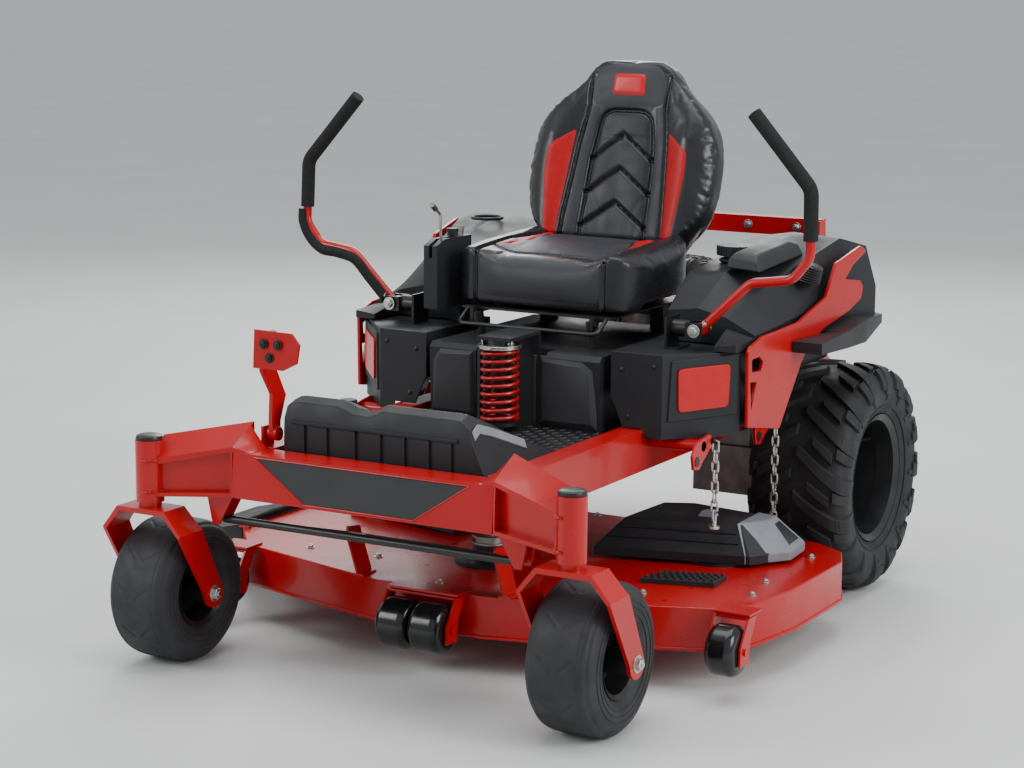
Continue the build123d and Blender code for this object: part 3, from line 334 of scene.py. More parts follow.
def curve_through(points, steps=8):
    """A Catmull-Rom line through points."""
    points = [Vector(p) for p in points]
    padded = [points[0] * 2 - points[1]] + points + [points[-1] * 2 - points[-2]]
    line = []
    for a, b, c, d in zip(padded, padded[1:], padded[2:], padded[3:]):
        for i in range(steps):
            t = i / steps
            line.append(0.5 * ((2 * b) + (c - a) * t + (2 * a - 5 * b + 4 * c - d) * t * t
                               + (3 * b - a - 3 * c + d) * t ** 3))
    line.append(points[-1])
    return line


def add_tube(bm, path, radius, sides=12, joined=False):
    """A round bar along a line; radius is a number, or a function of the share of the line."""
    count = len(path)
    normal = None
    rings = []
    for i, point in enumerate(path):
        before = path[i - 1] if i or joined else point
        after = path[(i + 1) % count] if i < count - 1 or joined else point
        direction = (after - before).normalized()
        if normal is None:
            normal = side_axes(direction)[0]
        normal = (normal - direction * normal.dot(direction)).normalized()
        other = direction.cross(normal)
        size = radius(i / (count - 1)) if callable(radius) else radius
        rings.append([point + (normal * math.cos(2 * math.pi * k / sides)
                               + other * math.sin(2 * math.pi * k / sides)) * size for k in range(sides)])
    add_rings(bm, rings, joined)


def make_piece(name, bm, body, look, bevel=0.0, segments=2, sharp=40, replaces=()):
    """Turns a bmesh into a piece that rides on a body."""
    bmesh.ops.recalc_face_normals(bm, faces=bm.faces)
    mesh = bpy.data.meshes.new(name)
    bm.to_mesh(mesh)
    bm.free()
    mesh.materials.append(look.material)
    mesh.shade_smooth()
    mesh.set_sharp_from_angle(angle=math.radians(sharp))
    piece = bpy.data.objects.new(name, mesh)
    bpy.context.scene.collection.objects.link(piece)
    if bevel:
        edge = piece.modifiers.new("bevel", "BEVEL")
        edge.width = bevel
        edge.segments = segments
        edge.limit_method = "ANGLE"
        edge.angle_limit = math.radians(28)
        edge.harden_normals = True
    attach(piece, body)
    if replaces:
        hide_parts(*replaces)
    return piece


# Wheels --------------------------------------------------------------------------------------------
# Half sections run from the crown to the bead: shares of the half width and of the outer radius.
DRIVE_SECTION = [(0, 0.957), (0.3, 0.955), (0.6, 0.946), (0.78, 0.925), (0.89, 0.885), (0.95, 0.83),
                 (0.965, 0.77), (0.95, 0.70), (0.90, 0.63), (0.82, 0.57), (0.745, 0.528)]
CASTER_SECTION = [(0, 1.0), (0.35, 0.998), (0.62, 0.988), (0.77, 0.965), (0.82, 0.93), (0.90, 0.90),
                  (0.96, 0.83), (0.99, 0.74), (0.97, 0.64), (0.90, 0.55), (0.80, 0.475)]


class Wheel:
    """The measured ring that a tyre fills, taken from its CAD node."""

    def __init__(self, node, section):
        self.centre = middle_of(node)
        self.half = (high_of(node).x - low_of(node).x) / 2
        self.outer = (high_of(node).z - low_of(node).z) / 2
        points = [Vector((u * self.half, v * self.outer, 0)) for u, v in section]
        self.line = curve_through(points, 4)
        self.lengths = [0.0]
        for a, b in zip(self.line, self.line[1:]):
            self.lengths.append(self.lengths[-1] + (b - a).length)

    def point(self, across, radius, angle):
        return self.centre + Vector((across, radius * math.cos(angle), radius * math.sin(angle)))

    def hoop(self, across, radius, count=96):
        return [self.point(across, radius, 2 * math.pi * k / count) for k in range(count)]

    def surface(self, distance):
        """Place and outward normal at a distance along the half section from the crown."""
        for i, length in enumerate(self.lengths[1:]):
            if length >= distance or i == len(self.line) - 2:
                a, b = self.line[i], self.line[i + 1]
                share = (distance - self.lengths[i]) / (length - self.lengths[i])
                step = (b - a).normalized()
                return a.lerp(b, share), Vector((-step.y, step.x, 0))
        return self.line[-1], Vector((1, 0, 0))


def carcass(bm, wheel, wall, segments, shape=None):
    """Turns the tyre's closed section about the axle; shape gives the depth of any cut in the surface."""
    outside = [(p.x, p.y) for p in wheel.line]
    full = [(-x, r) for x, r in reversed(outside[1:])] + outside
    inner = [(x * (1 - wall / wheel.half), r - wall if abs(x) < wheel.half * 0.75 else r) for x,
             r in full]
    loop = full + list(reversed(inner))
    rings = []
    for i in range(segments):
        angle = 2 * math.pi * i / segments
        ring = []
        for k, (x, r) in enumerate(loop):
            if shape and k < len(full):
                r -= shape(x, angle)
            ring.append(wheel.point(x, r, angle))
        rings.append(ring)
    add_rings(bm, rings, joined=True)


def tread_bar(bm, wheel, side, start, end, angle, sweep, width, height, sink=0.004):
    """A raised rubber bar that follows the tyre's surface out from near the crown and down the side."""
    steps = 9
    rings = []
    for i in range(steps):
        share = i / (steps - 1)
        place, normal = wheel.surface(start + (end - start) * share)
        lean = angle + side * sweep * min(place.x / wheel.half, 0.92)
        rise = height(share)
        size = width(share)
        ring = []
        for lift, spread in ((-sink, 1.0), (rise, 0.80)):
            x = (place.x + normal.x * lift) * side
            r = place.y + normal.y * lift
            for way in ((-1, 1) if lift < 0 else (1, -1)):
                ring.append(wheel.point(x, r, lean + way * size * spread / r))
        rings.append(ring)
    add_rings(bm, rings)


def drive_tyres():
    """Knobby tyres: pairs of slanted bars meet near the crown in a V, short blocks fill the shoulders."""
    for name, _ in SIDES:
        wheel = Wheel(f"drive_tyre_{name}", DRIVE_SECTION)
        bm = bmesh.new()
        carcass(bm, wheel, 0.010, 144)
        bars = 16
        pitch = 2 * math.pi / bars
        total = wheel.lengths[-1]
        for i in range(bars):
            for side in (1, -1):
                angle = pitch * (i + (0.5 if side < 0 else 0))
                tread_bar(bm, wheel, side, 0.004, total * 0.50, angle, 0.34 * side,
                          lambda s: 0.016 + 0.008 * s,
                          lambda s: 0.0125)
                tread_bar(bm, wheel, side, total * 0.46, total * 0.70, angle, 0.34 * side,
                          lambda s: 0.024 - 0.004 * s, lambda s: 0.0125 - 0.007 * s)
                tread_bar(bm, wheel, side, total * 0.17, total * 0.40, angle + pitch * 0.52, 0.34 * side,
                          lambda s: 0.013 + 0.004 * s, lambda s: 0.0122)
                tread_bar(bm, wheel, side, total * 0.43, total * 0.64, angle + pitch * 0.50, 0.26 * side,
                          lambda s: 0.017 - 0.003 * s, lambda s: 0.0115 - 0.005 * s)
                tread_bar(bm, wheel, side, total * 0.60, total * 0.78, angle + pitch * 0.25, 0.20 * side,
                          lambda s: 0.008, lambda s: 0.0055 - 0.003 * s)
        make_piece(f"drive_tyre_treaded_{name}", bm, f"drive_wheel_{name}", RUBBER,
                   bevel=0.0016,
                   segments=2, replaces=[f"drive_tyre_{name}"])
        beads = bmesh.new()
        for side in (1, -1):
            for share, thick in ((0.84, 0.0024), (0.92, 0.0020)):
                place, normal = wheel.surface(total * share)
                path = wheel.hoop(side * (place.x + normal.x * 0.001), place.y)
                add_tube(beads, path, thick, 8, joined=True)
        make_piece(f"drive_tyre_beads_{name}", beads, f"drive_wheel_{name}", RUBBER)


def caster_groove(x, angle):
    """Depth of the shallow V cuts and of the two circumferential grooves in a smooth tread."""
    across = abs(x)
    depth = 0.0
    if across < 0.046:
        turn = (angle * 11 / (2 * math.pi) + across * 9.0) % 1.0
        if abs(turn - 0.5) < 0.035 and 0.008 < across < 0.040:
            depth = 0.0016
    if abs(across - 0.052) < 0.0022:
        depth = 0.0014
    return depth


def caster_tyres():
    for name, _ in SIDES:
        wheel = Wheel(f"caster_tyre_{name}", CASTER_SECTION)
        wheel.line = [wheel.surface(wheel.lengths[-1] * i / 56)[0] for i in range(57)]
        bm = bmesh.new()
        carcass(bm, wheel, 0.009, 330, caster_groove)
        make_piece(f"caster_tyre_smooth_{name}", bm, f"caster_wheel_{name}", SMOOTH_RUBBER,
                   sharp=60,
                   replaces=[f"caster_tyre_{name}"])
        rings = bmesh.new()
        for side in (1, -1):
            for share in (0.66, 0.74, 0.82):
                place, normal = Wheel(f"caster_tyre_{name}",
                                      CASTER_SECTION).surface(wheel.lengths[-1] * share)
                path = wheel.hoop(side * (place.x + normal.x * 0.0004), place.y)
                add_tube(rings, path, 0.0014, 8, joined=True)
        make_piece(f"caster_tyre_rings_{name}", rings, f"caster_wheel_{name}", SMOOTH_RUBBER)


def wheel_hardware():
    """Valve stems, drive wheel nuts, caster axle nuts and the dust caps on the caster tubes."""
    for name, sign in SIDES:
        tyre = middle_of(f"drive_tyre_{name}")
        bm = bmesh.new()
        for k in range(5):
            turn = math.radians(72 * k + 18)
            base = tyre + Vector((-sign * 0.015, 0.057 * math.cos(turn), 0.057 * math.sin(turn)))
            add_bolt(bm, base, ACROSS * sign, 0.0115, 0.015)
        add_turned(bm, tyre - ACROSS * sign * 0.004, ACROSS * sign,
                   [(0, 0.030), (0.014, 0.028), (0.018, 0.020)], 32)
        make_piece(f"drive_nuts_{name}", bm, f"drive_wheel_{name}", BLADE_STEEL,
                   bevel=0.0006)
        bm = bmesh.new()
        stem = tyre + Vector((sign * 0.012, 0.1, 0.07))
        add_tube(bm, [stem, stem + Vector((sign * 0.02, 0.002, 0.002)),
                      stem + Vector((sign * 0.04, 0.008, 0.006))],
                 0.004, 10)
        make_piece(f"drive_valve_{name}", bm, f"drive_wheel_{name}", RUBBER)
        fork_low, fork_high = low_of(f"caster_fork_{name}"), high_of(f"caster_fork_{name}")
        axle = middle_of(f"caster_tyre_{name}")
        bm = bmesh.new()
        for way, face in ((1, fork_high.x - 0.009), (-1, fork_low.x + 0.009)):
            add_bolt(bm, Vector((face - way * 0.0005, axle.y, axle.z)), ACROSS * way, 0.0135, 0.0115)
        make_piece(f"caster_axle_nuts_{name}", bm, f"caster_{name}", STEEL, bevel=0.0008)
        bm = bmesh.new()
        tube = Vector((axle.x, -0.970, fork_high.z - 0.0075))
        add_turned(bm, tube, UP, [(0, 0.0305), (0.004, 0.0305), (0.008, 0.029), (0.0105, 0.024),
                                  (0.0115, 0.012)], 40)
        make_piece(f"caster_cap_{name}", bm, f"caster_{name}", BLACK)


# Seat ----------------------------------------------------------------------------------------------
class Sheet:
    """A flat drawing plane in space, for outlines and seams of the upholstery."""

    def __init__(self, origin, along, up):
        self.origin = origin
        self.u = along.normalized()
        self.v = up.normalized()
        self.n = self.u.cross(self.v)

    def point(self, u, v, out=0.0):
        return self.origin + self.u * u + self.v * v + self.n * out

    def local(self, point):
        delta = point - self.origin
        return delta.dot(self.u), delta.dot(self.v), delta.dot(self.n)


def segment_distance(p, a, b):
    ab = (b[0] - a[0], b[1] - a[1])
    length = ab[0] ** 2 + ab[1] ** 2
    t = max(0.0, min(1.0, ((p[0] - a[0]) * ab[0] + (p[1] - a[1]) * ab[1]) / length))
    return math.hypot(p[0] - a[0] - t * ab[0], p[1] - a[1] - t * ab[1])


def line_distance(p, lines):
    return min(segment_distance(p, a, b) for line in lines for a, b in zip(line, line[1:]))


def padded_body(name, bm, voxel, rounds, shape, pinned, puff):
    """Remeshes a closed form, rounds it, shapes it, then inflates it as cloth held along its seams."""
    mesh = bpy.data.meshes.new(name)
    bmesh.ops.recalc_face_normals(bm, faces=bm.faces)
    bm.to_mesh(mesh)
    bm.free()
    piece = bpy.data.objects.new(name, mesh)
    bpy.context.scene.collection.objects.link(piece)
    remesh = piece.modifiers.new("remesh", "REMESH")
    remesh.mode = "VOXEL"
    remesh.voxel_size = voxel
    relax = piece.modifiers.new("relax", "SMOOTH")
    relax.factor = 0.5
    relax.iterations = rounds
    bake_modifiers(piece)
    for vertex in piece.data.vertices:
        vertex.co = shape(vertex.co)
    inflate(piece, pinned, puff)
    return piece


def bake_modifiers(piece):
    """Replaces the mesh by what its modifiers make of it."""
    bpy.context.view_layer.update()
    graph = bpy.context.evaluated_depsgraph_get()
    mesh = bpy.data.meshes.new_from_object(piece.evaluated_get(graph))
    piece.modifiers.clear()
    piece.data = mesh


def inflate(piece, pinned, puff):
    """Cloth under light pressure, pinned at the seams; no point may move further than puff."""
    scene = bpy.context.scene
    rest = [v.co.copy() for v in piece.data.vertices]
    group = piece.vertex_groups.new(name="pins")
    for vertex in piece.data.vertices:
        hold = pinned(vertex.co)
        if hold > 0:
            group.add([vertex.index], hold, "REPLACE")
    cloth = piece.modifiers.new("cloth", "CLOTH")
    settings = cloth.settings
    settings.quality = 5
    settings.mass = 0.3
    settings.tension_stiffness = 15
    settings.compression_stiffness = 15
    settings.shear_stiffness = 5
    settings.bending_stiffness = 0.8
    settings.use_pressure = True
    settings.uniform_pressure_force = 4
    settings.vertex_group_mass = "pins"
    settings.effector_weights.gravity = 0
    cloth.point_cache.frame_start = 1
    cloth.point_cache.frame_end = 20
    for step in range(1, 21):
        scene.frame_set(step)
    bake_modifiers(piece)
    for vertex, start in zip(piece.data.vertices, rest):
        move = vertex.co - start
        if move.length > puff:
            vertex.co = start + move.normalized() * puff
    scene.frame_set(1)


def carve(piece, sheet, lines, width, depth, front=0.25):
    """Sews a channel along lines drawn on the sheet, into the side that faces it."""
    mesh = piece.data
    normals = [v.normal.copy() for v in mesh.vertices]
    for vertex, normal in zip(mesh.vertices, normals):
        if normal.dot(sheet.n) < front:
            continue
        u, v, _ = sheet.local(vertex.co)
        gap = line_distance((u, v), lines)
        if gap < width:
            vertex.co = vertex.co - normal * depth * (0.5 + 0.5 * math.cos(math.pi * gap / width))
    mesh.update()


def seat_surface(piece):
    mesh = piece.data
    points = [v.co.copy() for v in mesh.vertices]
    return BVHTree.FromPolygons(points, [tuple(p.vertices) for p in mesh.polygons])


def on_surface(tree, sheet, u, v, reach=0.3):
    hit, normal, _, _ = tree.ray_cast(sheet.point(u, v, reach), -sheet.n, 2 * reach)
    if hit is None:
        hit, normal, _, _ = tree.find_nearest(sheet.point(u, v, 0))
    return hit, normal


def densify(outline, step):
    points = []
    for a, b in zip(outline, outline[1:] + outline[:1]):
        count = max(1, round(math.dist(a, b) / step))
        for i in range(count):
            t = i / count
            points.append((a[0] + (b[0] - a[0]) * t, a[1] + (b[1] - a[1]) * t))
    return points


def inside(point, outline):
    result = False
    for (x1, y1), (x2, y2) in zip(outline, outline[1:] + outline[:1]):
        if (y1 > point[1]) != (y2 > point[1]) and point[0] < (x2 - x1) * (point[1] - y1) / (y2 - y1) + x1:
            result = not result
    return result


def wrap_panel(name, tree, sheet, outline, body, look, step=0.006, lift=0.0016, thick=0.003):
    """A sewn-on panel that follows the cushion under it and sinks into the seam round its edge."""
    border = densify(outline, step)
    points = [Vector(p) for p in border]
    us = [p[0] for p in outline]
    vs = [p[1] for p in outline]
    for i in range(int((max(us) - min(us)) / step) + 1):
        for k in range(int((max(vs) - min(vs)) / step) + 1):
            p = (min(us) + i * step, min(vs) + k * step)
            if inside(p, outline) and line_distance(p, [border + border[:1]]) > step * 0.45:
                points.append(Vector(p))
    edges = [(i, (i + 1) % len(border)) for i in range(len(border))]
    verts, _, faces, _, _, _ = delaunay_2d_cdt(points, edges, [], 1, 1e-7)
    bm = bmesh.new()
    made = []
    ring = [border + border[:1]]
    for p in verts:
        hit, normal = on_surface(tree, sheet, p[0], p[1])
        edge = min(1.0, line_distance((p[0], p[1]), ring) / 0.008)
        made.append(bm.verts.new(hit + normal * (lift * (0.15 + 0.85 * math.sin(edge * math.pi / 2)))))
    for face in faces:
        bm.faces.new([made[i] for i in face])
    bmesh.ops.recalc_face_normals(bm, faces=bm.faces)
    if sum((f.normal for f in bm.faces), Vector()).dot(sheet.n) < 0:
        bmesh.ops.reverse_faces(bm, faces=bm.faces)
    top = list(bm.faces)
    under = {v: bm.verts.new(v.co - v.normal * thick) for v in made}
    rim = [e for e in bm.edges if e.is_boundary]
    for face in top:
        bm.faces.new([under[v] for v in reversed(face.verts)])
    for edge in rim:
        a, b = edge.verts
        bm.faces.new((a, b, under[b], under[a]))
    return make_piece(name, bm, body, look, sharp=50)


def stitches(name, tree, sheet, lines, body, offset=0.0, pitch=0.0085, length=0.0055, radius=0.0007):
    """Short thread stitches that lie on the cushion along lines of the sheet."""
    bm = bmesh.new()
    for line in lines:
        for a, b in zip(line, line[1:]):
            run = math.dist(a, b)
            along = ((b[0] - a[0]) / run, (b[1] - a[1]) / run)
            aside = (-along[1] * offset, along[0] * offset)
            for i in range(int(run / pitch)):
                ends = []
                for d in (i * pitch, i * pitch + length / 2, i * pitch + length):
                    hit, normal = on_surface(tree, sheet, a[0] + along[0] * d + aside[0],
                                             a[1] + along[1] * d + aside[1])
                    ends.append(hit + normal * (radius * (0.9 if len(ends) == 1 else 0.2)))
                if (ends[2] - ends[0]).length < length * 2:
                    add_tube(bm, ends, radius, 6)
    make_piece(name, bm, body, THREAD)


def rounded(outline, radius, steps=5):
    """Rounds the corners of a polygon."""
    result = []
    count = len(outline)
    for i, corner in enumerate(outline):
        p = Vector(corner)
        a = Vector(outline[i - 1]) - p
        b = Vector(outline[(i + 1) % count]) - p
        cut = min(radius, a.length * 0.45, b.length * 0.45)
        start, end = p + a.normalized() * cut, p + b.normalized() * cut
        for k in range(steps + 1):
            t = k / steps
            q = start * (1 - t) ** 2 + p * 2 * t * (1 - t) + end * t ** 2
            result.append((q.x, q.y))
    return result


def seat_cushion():
    """The base cushion: crowned, with side bolsters that rise to the rear and a sewn centre panel."""
    low, high = low_of("seat_cushion"), high_of("seat_cushion")
    wide, deep, tall = high.x - low.x, high.y - low.y, high.z - low.z
    middle = Vector(((low.x + high.x) / 2, (low.y + high.y) / 2, low.z))
    top = Sheet(middle, ACROSS, REARWARD)
    half = wide / 2 - 0.006
    front_v, rear_v = -deep / 2 + 0.003, deep / 2 - 0.004
    plan = rounded([(-half + 0.004, front_v), (half - 0.004, front_v), (half + 0.004, 0.02),
                    (half - 0.012, rear_v), (-half + 0.012, rear_v), (-half - 0.004, 0.02)], 0.070)
    bm = bmesh.new()
    add_prism(bm, [top.point(u, v, 0.006) for u, v in plan], UP * (tall - 0.032))
    bolster = half - 0.070

    def shape(co):
        u, v, w = top.local(co)
        share = max(0.0, min(1.0, w / (tall - 0.03)))
        ridge = math.exp(-((abs(u) - half + 0.050) / 0.048) ** 2)
        rise = ridge * (0.016 + 0.020 * max(0.0, min(1.0, (v + deep / 2) / deep)))
        crown = 0.006 * max(0.0, 1 - (u / bolster) ** 2) * (1 - (2 * v / deep) ** 2)
        nose = -0.024 * max(0.0, -v / (deep / 2) - 0.35) * (1 - ridge)
        apron = 0.017 * (1 - share) * max(0.0, min(1.0, (-0.098 - v) / 0.03))
        return co + UP * (share * (rise + crown + nose) - apron)

    seams = [[(s * bolster, -deep / 2 - 0.02), (s * (bolster + 0.004), -0.02),
              (s * (bolster - 0.016), deep / 2)]
             for s in (1, -1)]
    cross = [[(-bolster, -deep / 2 + 0.085), (bolster, -deep / 2 + 0.085)]]

    def pinned(co):
        u, v, w = top.local(co)
        if w < 0.012:
            return 1.0
        return 0.9 if line_distance((u, v), seams + cross) < 0.004 and w > 0.03 else 0.0

    piece = padded_body("seat_cushion_vinyl", bm, 0.0055, 14, shape, pinned, 0.024)
    finish_cushion(piece)
    carve(piece, top, seams, 0.0075, 0.0075)
    carve(piece, top, cross, 0.0070, 0.0050)
    front = Sheet(Vector((middle.x, low.y, low.z)), ACROSS, UP)
    drops = [[(s * bolster, -0.01), (s * bolster, tall + 0.03)] for s in (1, -1)]
    carve(piece, front, drops, 0.0075, 0.0065)
    settle(piece, "seat", VINYL, ["seat_cushion"])
    tree = seat_surface(piece)
    for name, s in SIDES:
        outline = rounded([(s * (bolster - 0.004), -0.115), (s * (bolster - 0.012), 0.115),
                           (s * (bolster - 0.060), 0.135), (s * (bolster - 0.030), 0.01)], 0.014, 3)
        wrap_panel(f"cushion_inset_{name}", tree, top, outline, "seat", RED_VINYL)
    plate = rounded([(-bolster + 0.010, 0.012), (bolster - 0.010, 0.012), (bolster - 0.010, tall - 0.028),
                     (-bolster + 0.010, tall - 0.028)], 0.02, 3)
    wrap_panel("cushion_front_panel", tree, front, plate, "seat", MATT_VINYL, step=0.009)
    middle_panel = rounded([(-bolster + 0.012, -deep / 2 + 0.094), (bolster - 0.012, -deep / 2 + 0.094),
                            (bolster - 0.070, deep / 2 - 0.03), (-bolster + 0.070, deep / 2 - 0.03)],
                           0.02, 3)
    wrap_panel("cushion_centre_panel", tree, top, middle_panel, "seat", MATT_VINYL,
               step=0.009, lift=0.0012)
    stitches("cushion_stitches", tree, top, seams + cross, "seat", 0.0085)
    stitches("cushion_front_stitches", tree, front, drops, "seat", 0.0085)


def finish_cushion(piece):
    """One level of subdivision, applied."""
    surface = piece.modifiers.new("surface", "SUBSURF")
    surface.levels = 1
    bake_modifiers(piece)


def settle(piece, body, look, nodes):
    """Gives a finished cushion its material, hangs it on its body and hides the CAD nodes it replaces."""
    piece.data.materials.clear()
    piece.data.materials.append(look.material)
    piece.data.shade_smooth()
    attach(piece, body)
    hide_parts(*nodes)


# The backrest is drawn on its front plane: v runs up the recline from the back's reference point.
BACK_LEAN = Vector((0, 0.120, 0.430)).normalized()
BACK_HALF = [(0.150, -0.105), (0.196, 0.0), (0.246, 0.055), (0.264, 0.130), (0.266, 0.200),
             (0.252, 0.285),
             (0.206, 0.345), (0.146, 0.392), (0.112, 0.442), (0.086, 0.462)]


def seat_back():
    """The backrest: deep side bolsters, a headrest and a sewn centre channel with three chevrons."""
    middle = Vector((MACHINE_X, 0.210, 0.900))
    sheet = Sheet(middle, ACROSS, BACK_LEAN)
    thick = 0.092
    half = [(u - 0.002, v if v < 0.4 else v - 0.001) for u, v in BACK_HALF]
    outline = rounded(half + [(-u, v) for u, v in reversed(half)], 0.05, 4)
    bm = bmesh.new()
    add_prism(bm, [sheet.point(u, v, -0.012) for u, v in outline], -sheet.n * (thick - 0.014))

    def shape(co):
        u, v, w = sheet.local(co)
        front = max(0.0, min(1.0, (w + thick) / thick))
        edge = 0.150 if v < 0.30 else 0.150 - 0.30 * (v - 0.30)
        ridge = math.exp(-((abs(u) - edge - 0.040) / 0.040) ** 2) * max(0.0,
                                                                        1 - max(0.0, (v - 0.26) / 0.16))
        hollow = 0.018 * max(0.0, 1 - (abs(u) / 0.125) ** 2) * max(0.0, min(1.0, (0.36 - v) / 0.1))
        belly = 0.010 * math.exp(-((v - 0.02) / 0.09) ** 2) * max(0.0, 1 - (abs(u) / 0.16) ** 2)
        wing = -0.008 * max(0.0, (abs(u) - 0.215) / 0.045) * (1 - front)
        return co + sheet.n * (front * (0.030 * ridge - hollow + belly) - wing)

    channel = rounded([(-0.094, -0.085), (0.094, -0.085), (0.086, 0.20), (0.068, 0.330), (-0.068, 0.330),
                       (-0.086, 0.20)], 0.038, 4)
    bolster = [[(s * 0.146, -0.11), (s * 0.138, 0.06), (s * 0.122, 0.24), (s * 0.108, 0.34),
                (s * 0.112, 0.42)]
               for s in (1, -1)]
    chevrons = [[(-reach, v), (0.0, v + 0.064), (reach, v)]
                for reach, v in ((0.090, 0.030), (0.088, 0.118), (0.084, 0.206))]
    closed = [channel + channel[:1]]

    def pinned(co):
        u, v, w = sheet.local(co)
        if w < -thick + 0.012:
            return 1.0
        return 0.9 if w > -0.06 and line_distance((u, v), closed + bolster) < 0.004 else 0.0

    piece = padded_body("seat_back_vinyl", bm, 0.0055, 16, shape, pinned, 0.022)
    finish_cushion(piece)
    carve(piece, sheet, closed, 0.0075, 0.0085)
    carve(piece, sheet, bolster, 0.0070, 0.0070)
    carve(piece, sheet, chevrons, 0.0085, 0.0090)
    trim_below(piece, 0.905, 0.025)
    settle(piece, "seat", VINYL, ["seat_back"])
    tree = seat_surface(piece)
    for name, s in SIDES:
        red = rounded([(s * 0.150, -0.060), (s * 0.148, 0.06), (s * 0.132, 0.275), (s * 0.196, 0.225),
                       (s * 0.198, 0.16), (s * 0.178, -0.01)], 0.008, 3)
        wrap_panel(f"back_inset_{name}", tree, sheet, red, "seat", RED_VINYL)
        band = rounded([(s * 0.104, -0.09), (s * 0.140, -0.09), (s * 0.132, 0.06), (s * 0.115, 0.240),
                        (s * 0.102, 0.340), (s * 0.080, 0.340), (s * 0.096, 0.20)], 0.006, 2)
        wrap_panel(f"back_band_{name}", tree, sheet, band, "seat", MATT_VINYL, step=0.008)
    head = rounded([(-0.100, 0.342), (0.100, 0.342), (0.104, 0.405), (0.082, 0.446), (-0.082, 0.446),
                    (-0.104, 0.405)], 0.02, 3)
    wrap_panel("headrest_panel", tree, sheet, head, "seat", MATT_VINYL, step=0.009,
               lift=0.0012)
    badge = rounded([(-0.047, 0.368), (0.047, 0.368), (0.044, 0.424), (-0.044, 0.424)], 0.010, 4)
    wrap_panel("headrest_badge", tree, sheet, badge, "seat", BADGE, step=0.006, lift=0.0040,
               thick=0.004)
    centre = rounded([(-0.084, -0.076), (0.084, -0.076), (0.077, 0.20), (0.060, 0.320), (-0.060, 0.320),
                      (-0.077, 0.20)], 0.032, 4)
    wrap_panel("back_centre_panel", tree, sheet, centre, "seat", CENTRE_VINYL, step=0.0045,
               lift=0.0012)
    stitches("back_stitches", tree, sheet, closed, "seat", 0.0095)
    stitches("back_bolster_stitches", tree, sheet, bolster, "seat", 0.008)
    back_shell(sheet, thick)


def trim_below(piece, height, room):
    """Keeps the backrest's foot clear of the cushion by easing low points to the rear."""
    limit = high_of("seat_cushion").y
    for vertex in piece.data.vertices:
        if vertex.co.z < height and vertex.co.y < limit + 0.002:
            share = min(1.0, (height - vertex.co.z) / room)
            vertex.co.y += (limit + 0.002 - vertex.co.y) * share
    piece.data.update()


def back_shell(sheet, thick):
    """The moulded shell behind the backrest, with stiffening ribs and the seat's rear bracket."""
    half = [(u - 0.020, v - 0.014 if v > 0.3 else v + 0.01) for u, v in BACK_HALF]
    outline = rounded(half + [(-u, v) for u, v in reversed(half)], 0.045, 4)
    bm = bmesh.new()
    add_prism(bm, [sheet.point(u, v, -thick + 0.010) for u, v in outline], -sheet.n * 0.012)
    for u in (-0.12, -0.04, 0.04, 0.12):
        rib = [sheet.point(u - 0.006, -0.05, -thick), sheet.point(u + 0.006, -0.05, -thick),
               sheet.point(u + 0.006, 0.30, -thick), sheet.point(u - 0.006, 0.30, -thick)]
        add_prism(bm, rib, -sheet.n * 0.008)
    make_piece("seat_back_shell", bm, "seat", PLASTIC, bevel=0.004, segments=3)
    bm = bmesh.new()
    for sign in (1, -1):
        path = mirrored(sign, [(100, 160, 766), (100, 262, 770), (100, 292, 800), (100, 306, 880),
                               (100, 330, 950)])
        add_tube(bm, curve_through(path, 6), 0.011, 14)
    make_piece("seat_back_brackets", bm, "seat", BLACK)


# Suspension ----------------------------------------------------------------------------------------
def coil_spring():
    """The red coil: closed end turns, and even pitch between them."""
    low, high = low_of("shock_spring"), high_of("shock_spring")
    centre = middle_of("shock_spring")
    wire = 0.005
    radius = (high.x - low.x) / 2 - wire
    turns = 9.5
    steps = 26
    path = []
    for i in range(int(turns * steps) + 1):
        t = i / steps
        share = max(0.0, min(1.0, (t - 0.6) / (turns - 1.2)))
        height = low.z + wire + (high.z - low.z - 2 * wire) * share
        angle = 2 * math.pi * t
        path.append(Vector((centre.x + radius * math.cos(angle), centre.y + radius * math.sin(angle),
                            height)))
    bm = bmesh.new()
    add_tube(bm, path, wire, 14)
    spring = make_piece("shock_coil", bm, "chassis", SPRING_RED, sharp=80,
                        replaces=["shock_spring"])
    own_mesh(spring)
    bm = bmesh.new()
    for k in range(3):
        add_turned(bm, Vector((centre.x, centre.y, high.z + 0.002 + 0.003 * k)), UP,
                   [(0, 0.0505), (0.0008, 0.052), (0.0022, 0.052), (0.003, 0.0505)], 44)
    for way in (1, -1):
        add_bolt(bm, Vector((centre.x + way * 0.034, centre.y - 0.010, 0.708)), ACROSS * way, 0.008)
    make_piece("shock_adjuster", bm, "platform", STEEL, bevel=0.0005)


# Platform ------------------------------------------------------------------------------------------
def tread_plate():
    """Raised lozenges in alternating directions on the floor pan."""
    floor = high_of("floor_pan").z
    bm = bmesh.new()
    rows, pitch = 12, 0.0205
    for row in range(rows):
        for column in range(24):
            x = -0.2550 + pitch * 1.07 * column
            y = -0.498 + pitch * row
            if abs(x) > 0.256 or (math.hypot(x, y + 0.330) < 0.060):
                continue
            lean = math.radians(45 if (row + column) % 2 else -45)
            along = Vector((math.cos(lean), math.sin(lean), 0))
            aside = Vector((-along.y, along.x, 0))
            base = at(x * 1000, y * 1000, 0) + UP * (floor - 0.0004 - at(0, 0, 0).z)
            foot = [base + along * 0.0105, base + aside * 0.0042, base - along * 0.0105,
                    base - aside * 0.0042]
            crest = [base + along * 0.0070, base + aside * 0.0022, base - along * 0.0070,
                     base - aside * 0.0022]
            add_rings(bm, [foot, [p + UP * 0.0026 for p in crest]])
    make_piece("tread_pattern", bm, "platform", BLACK)


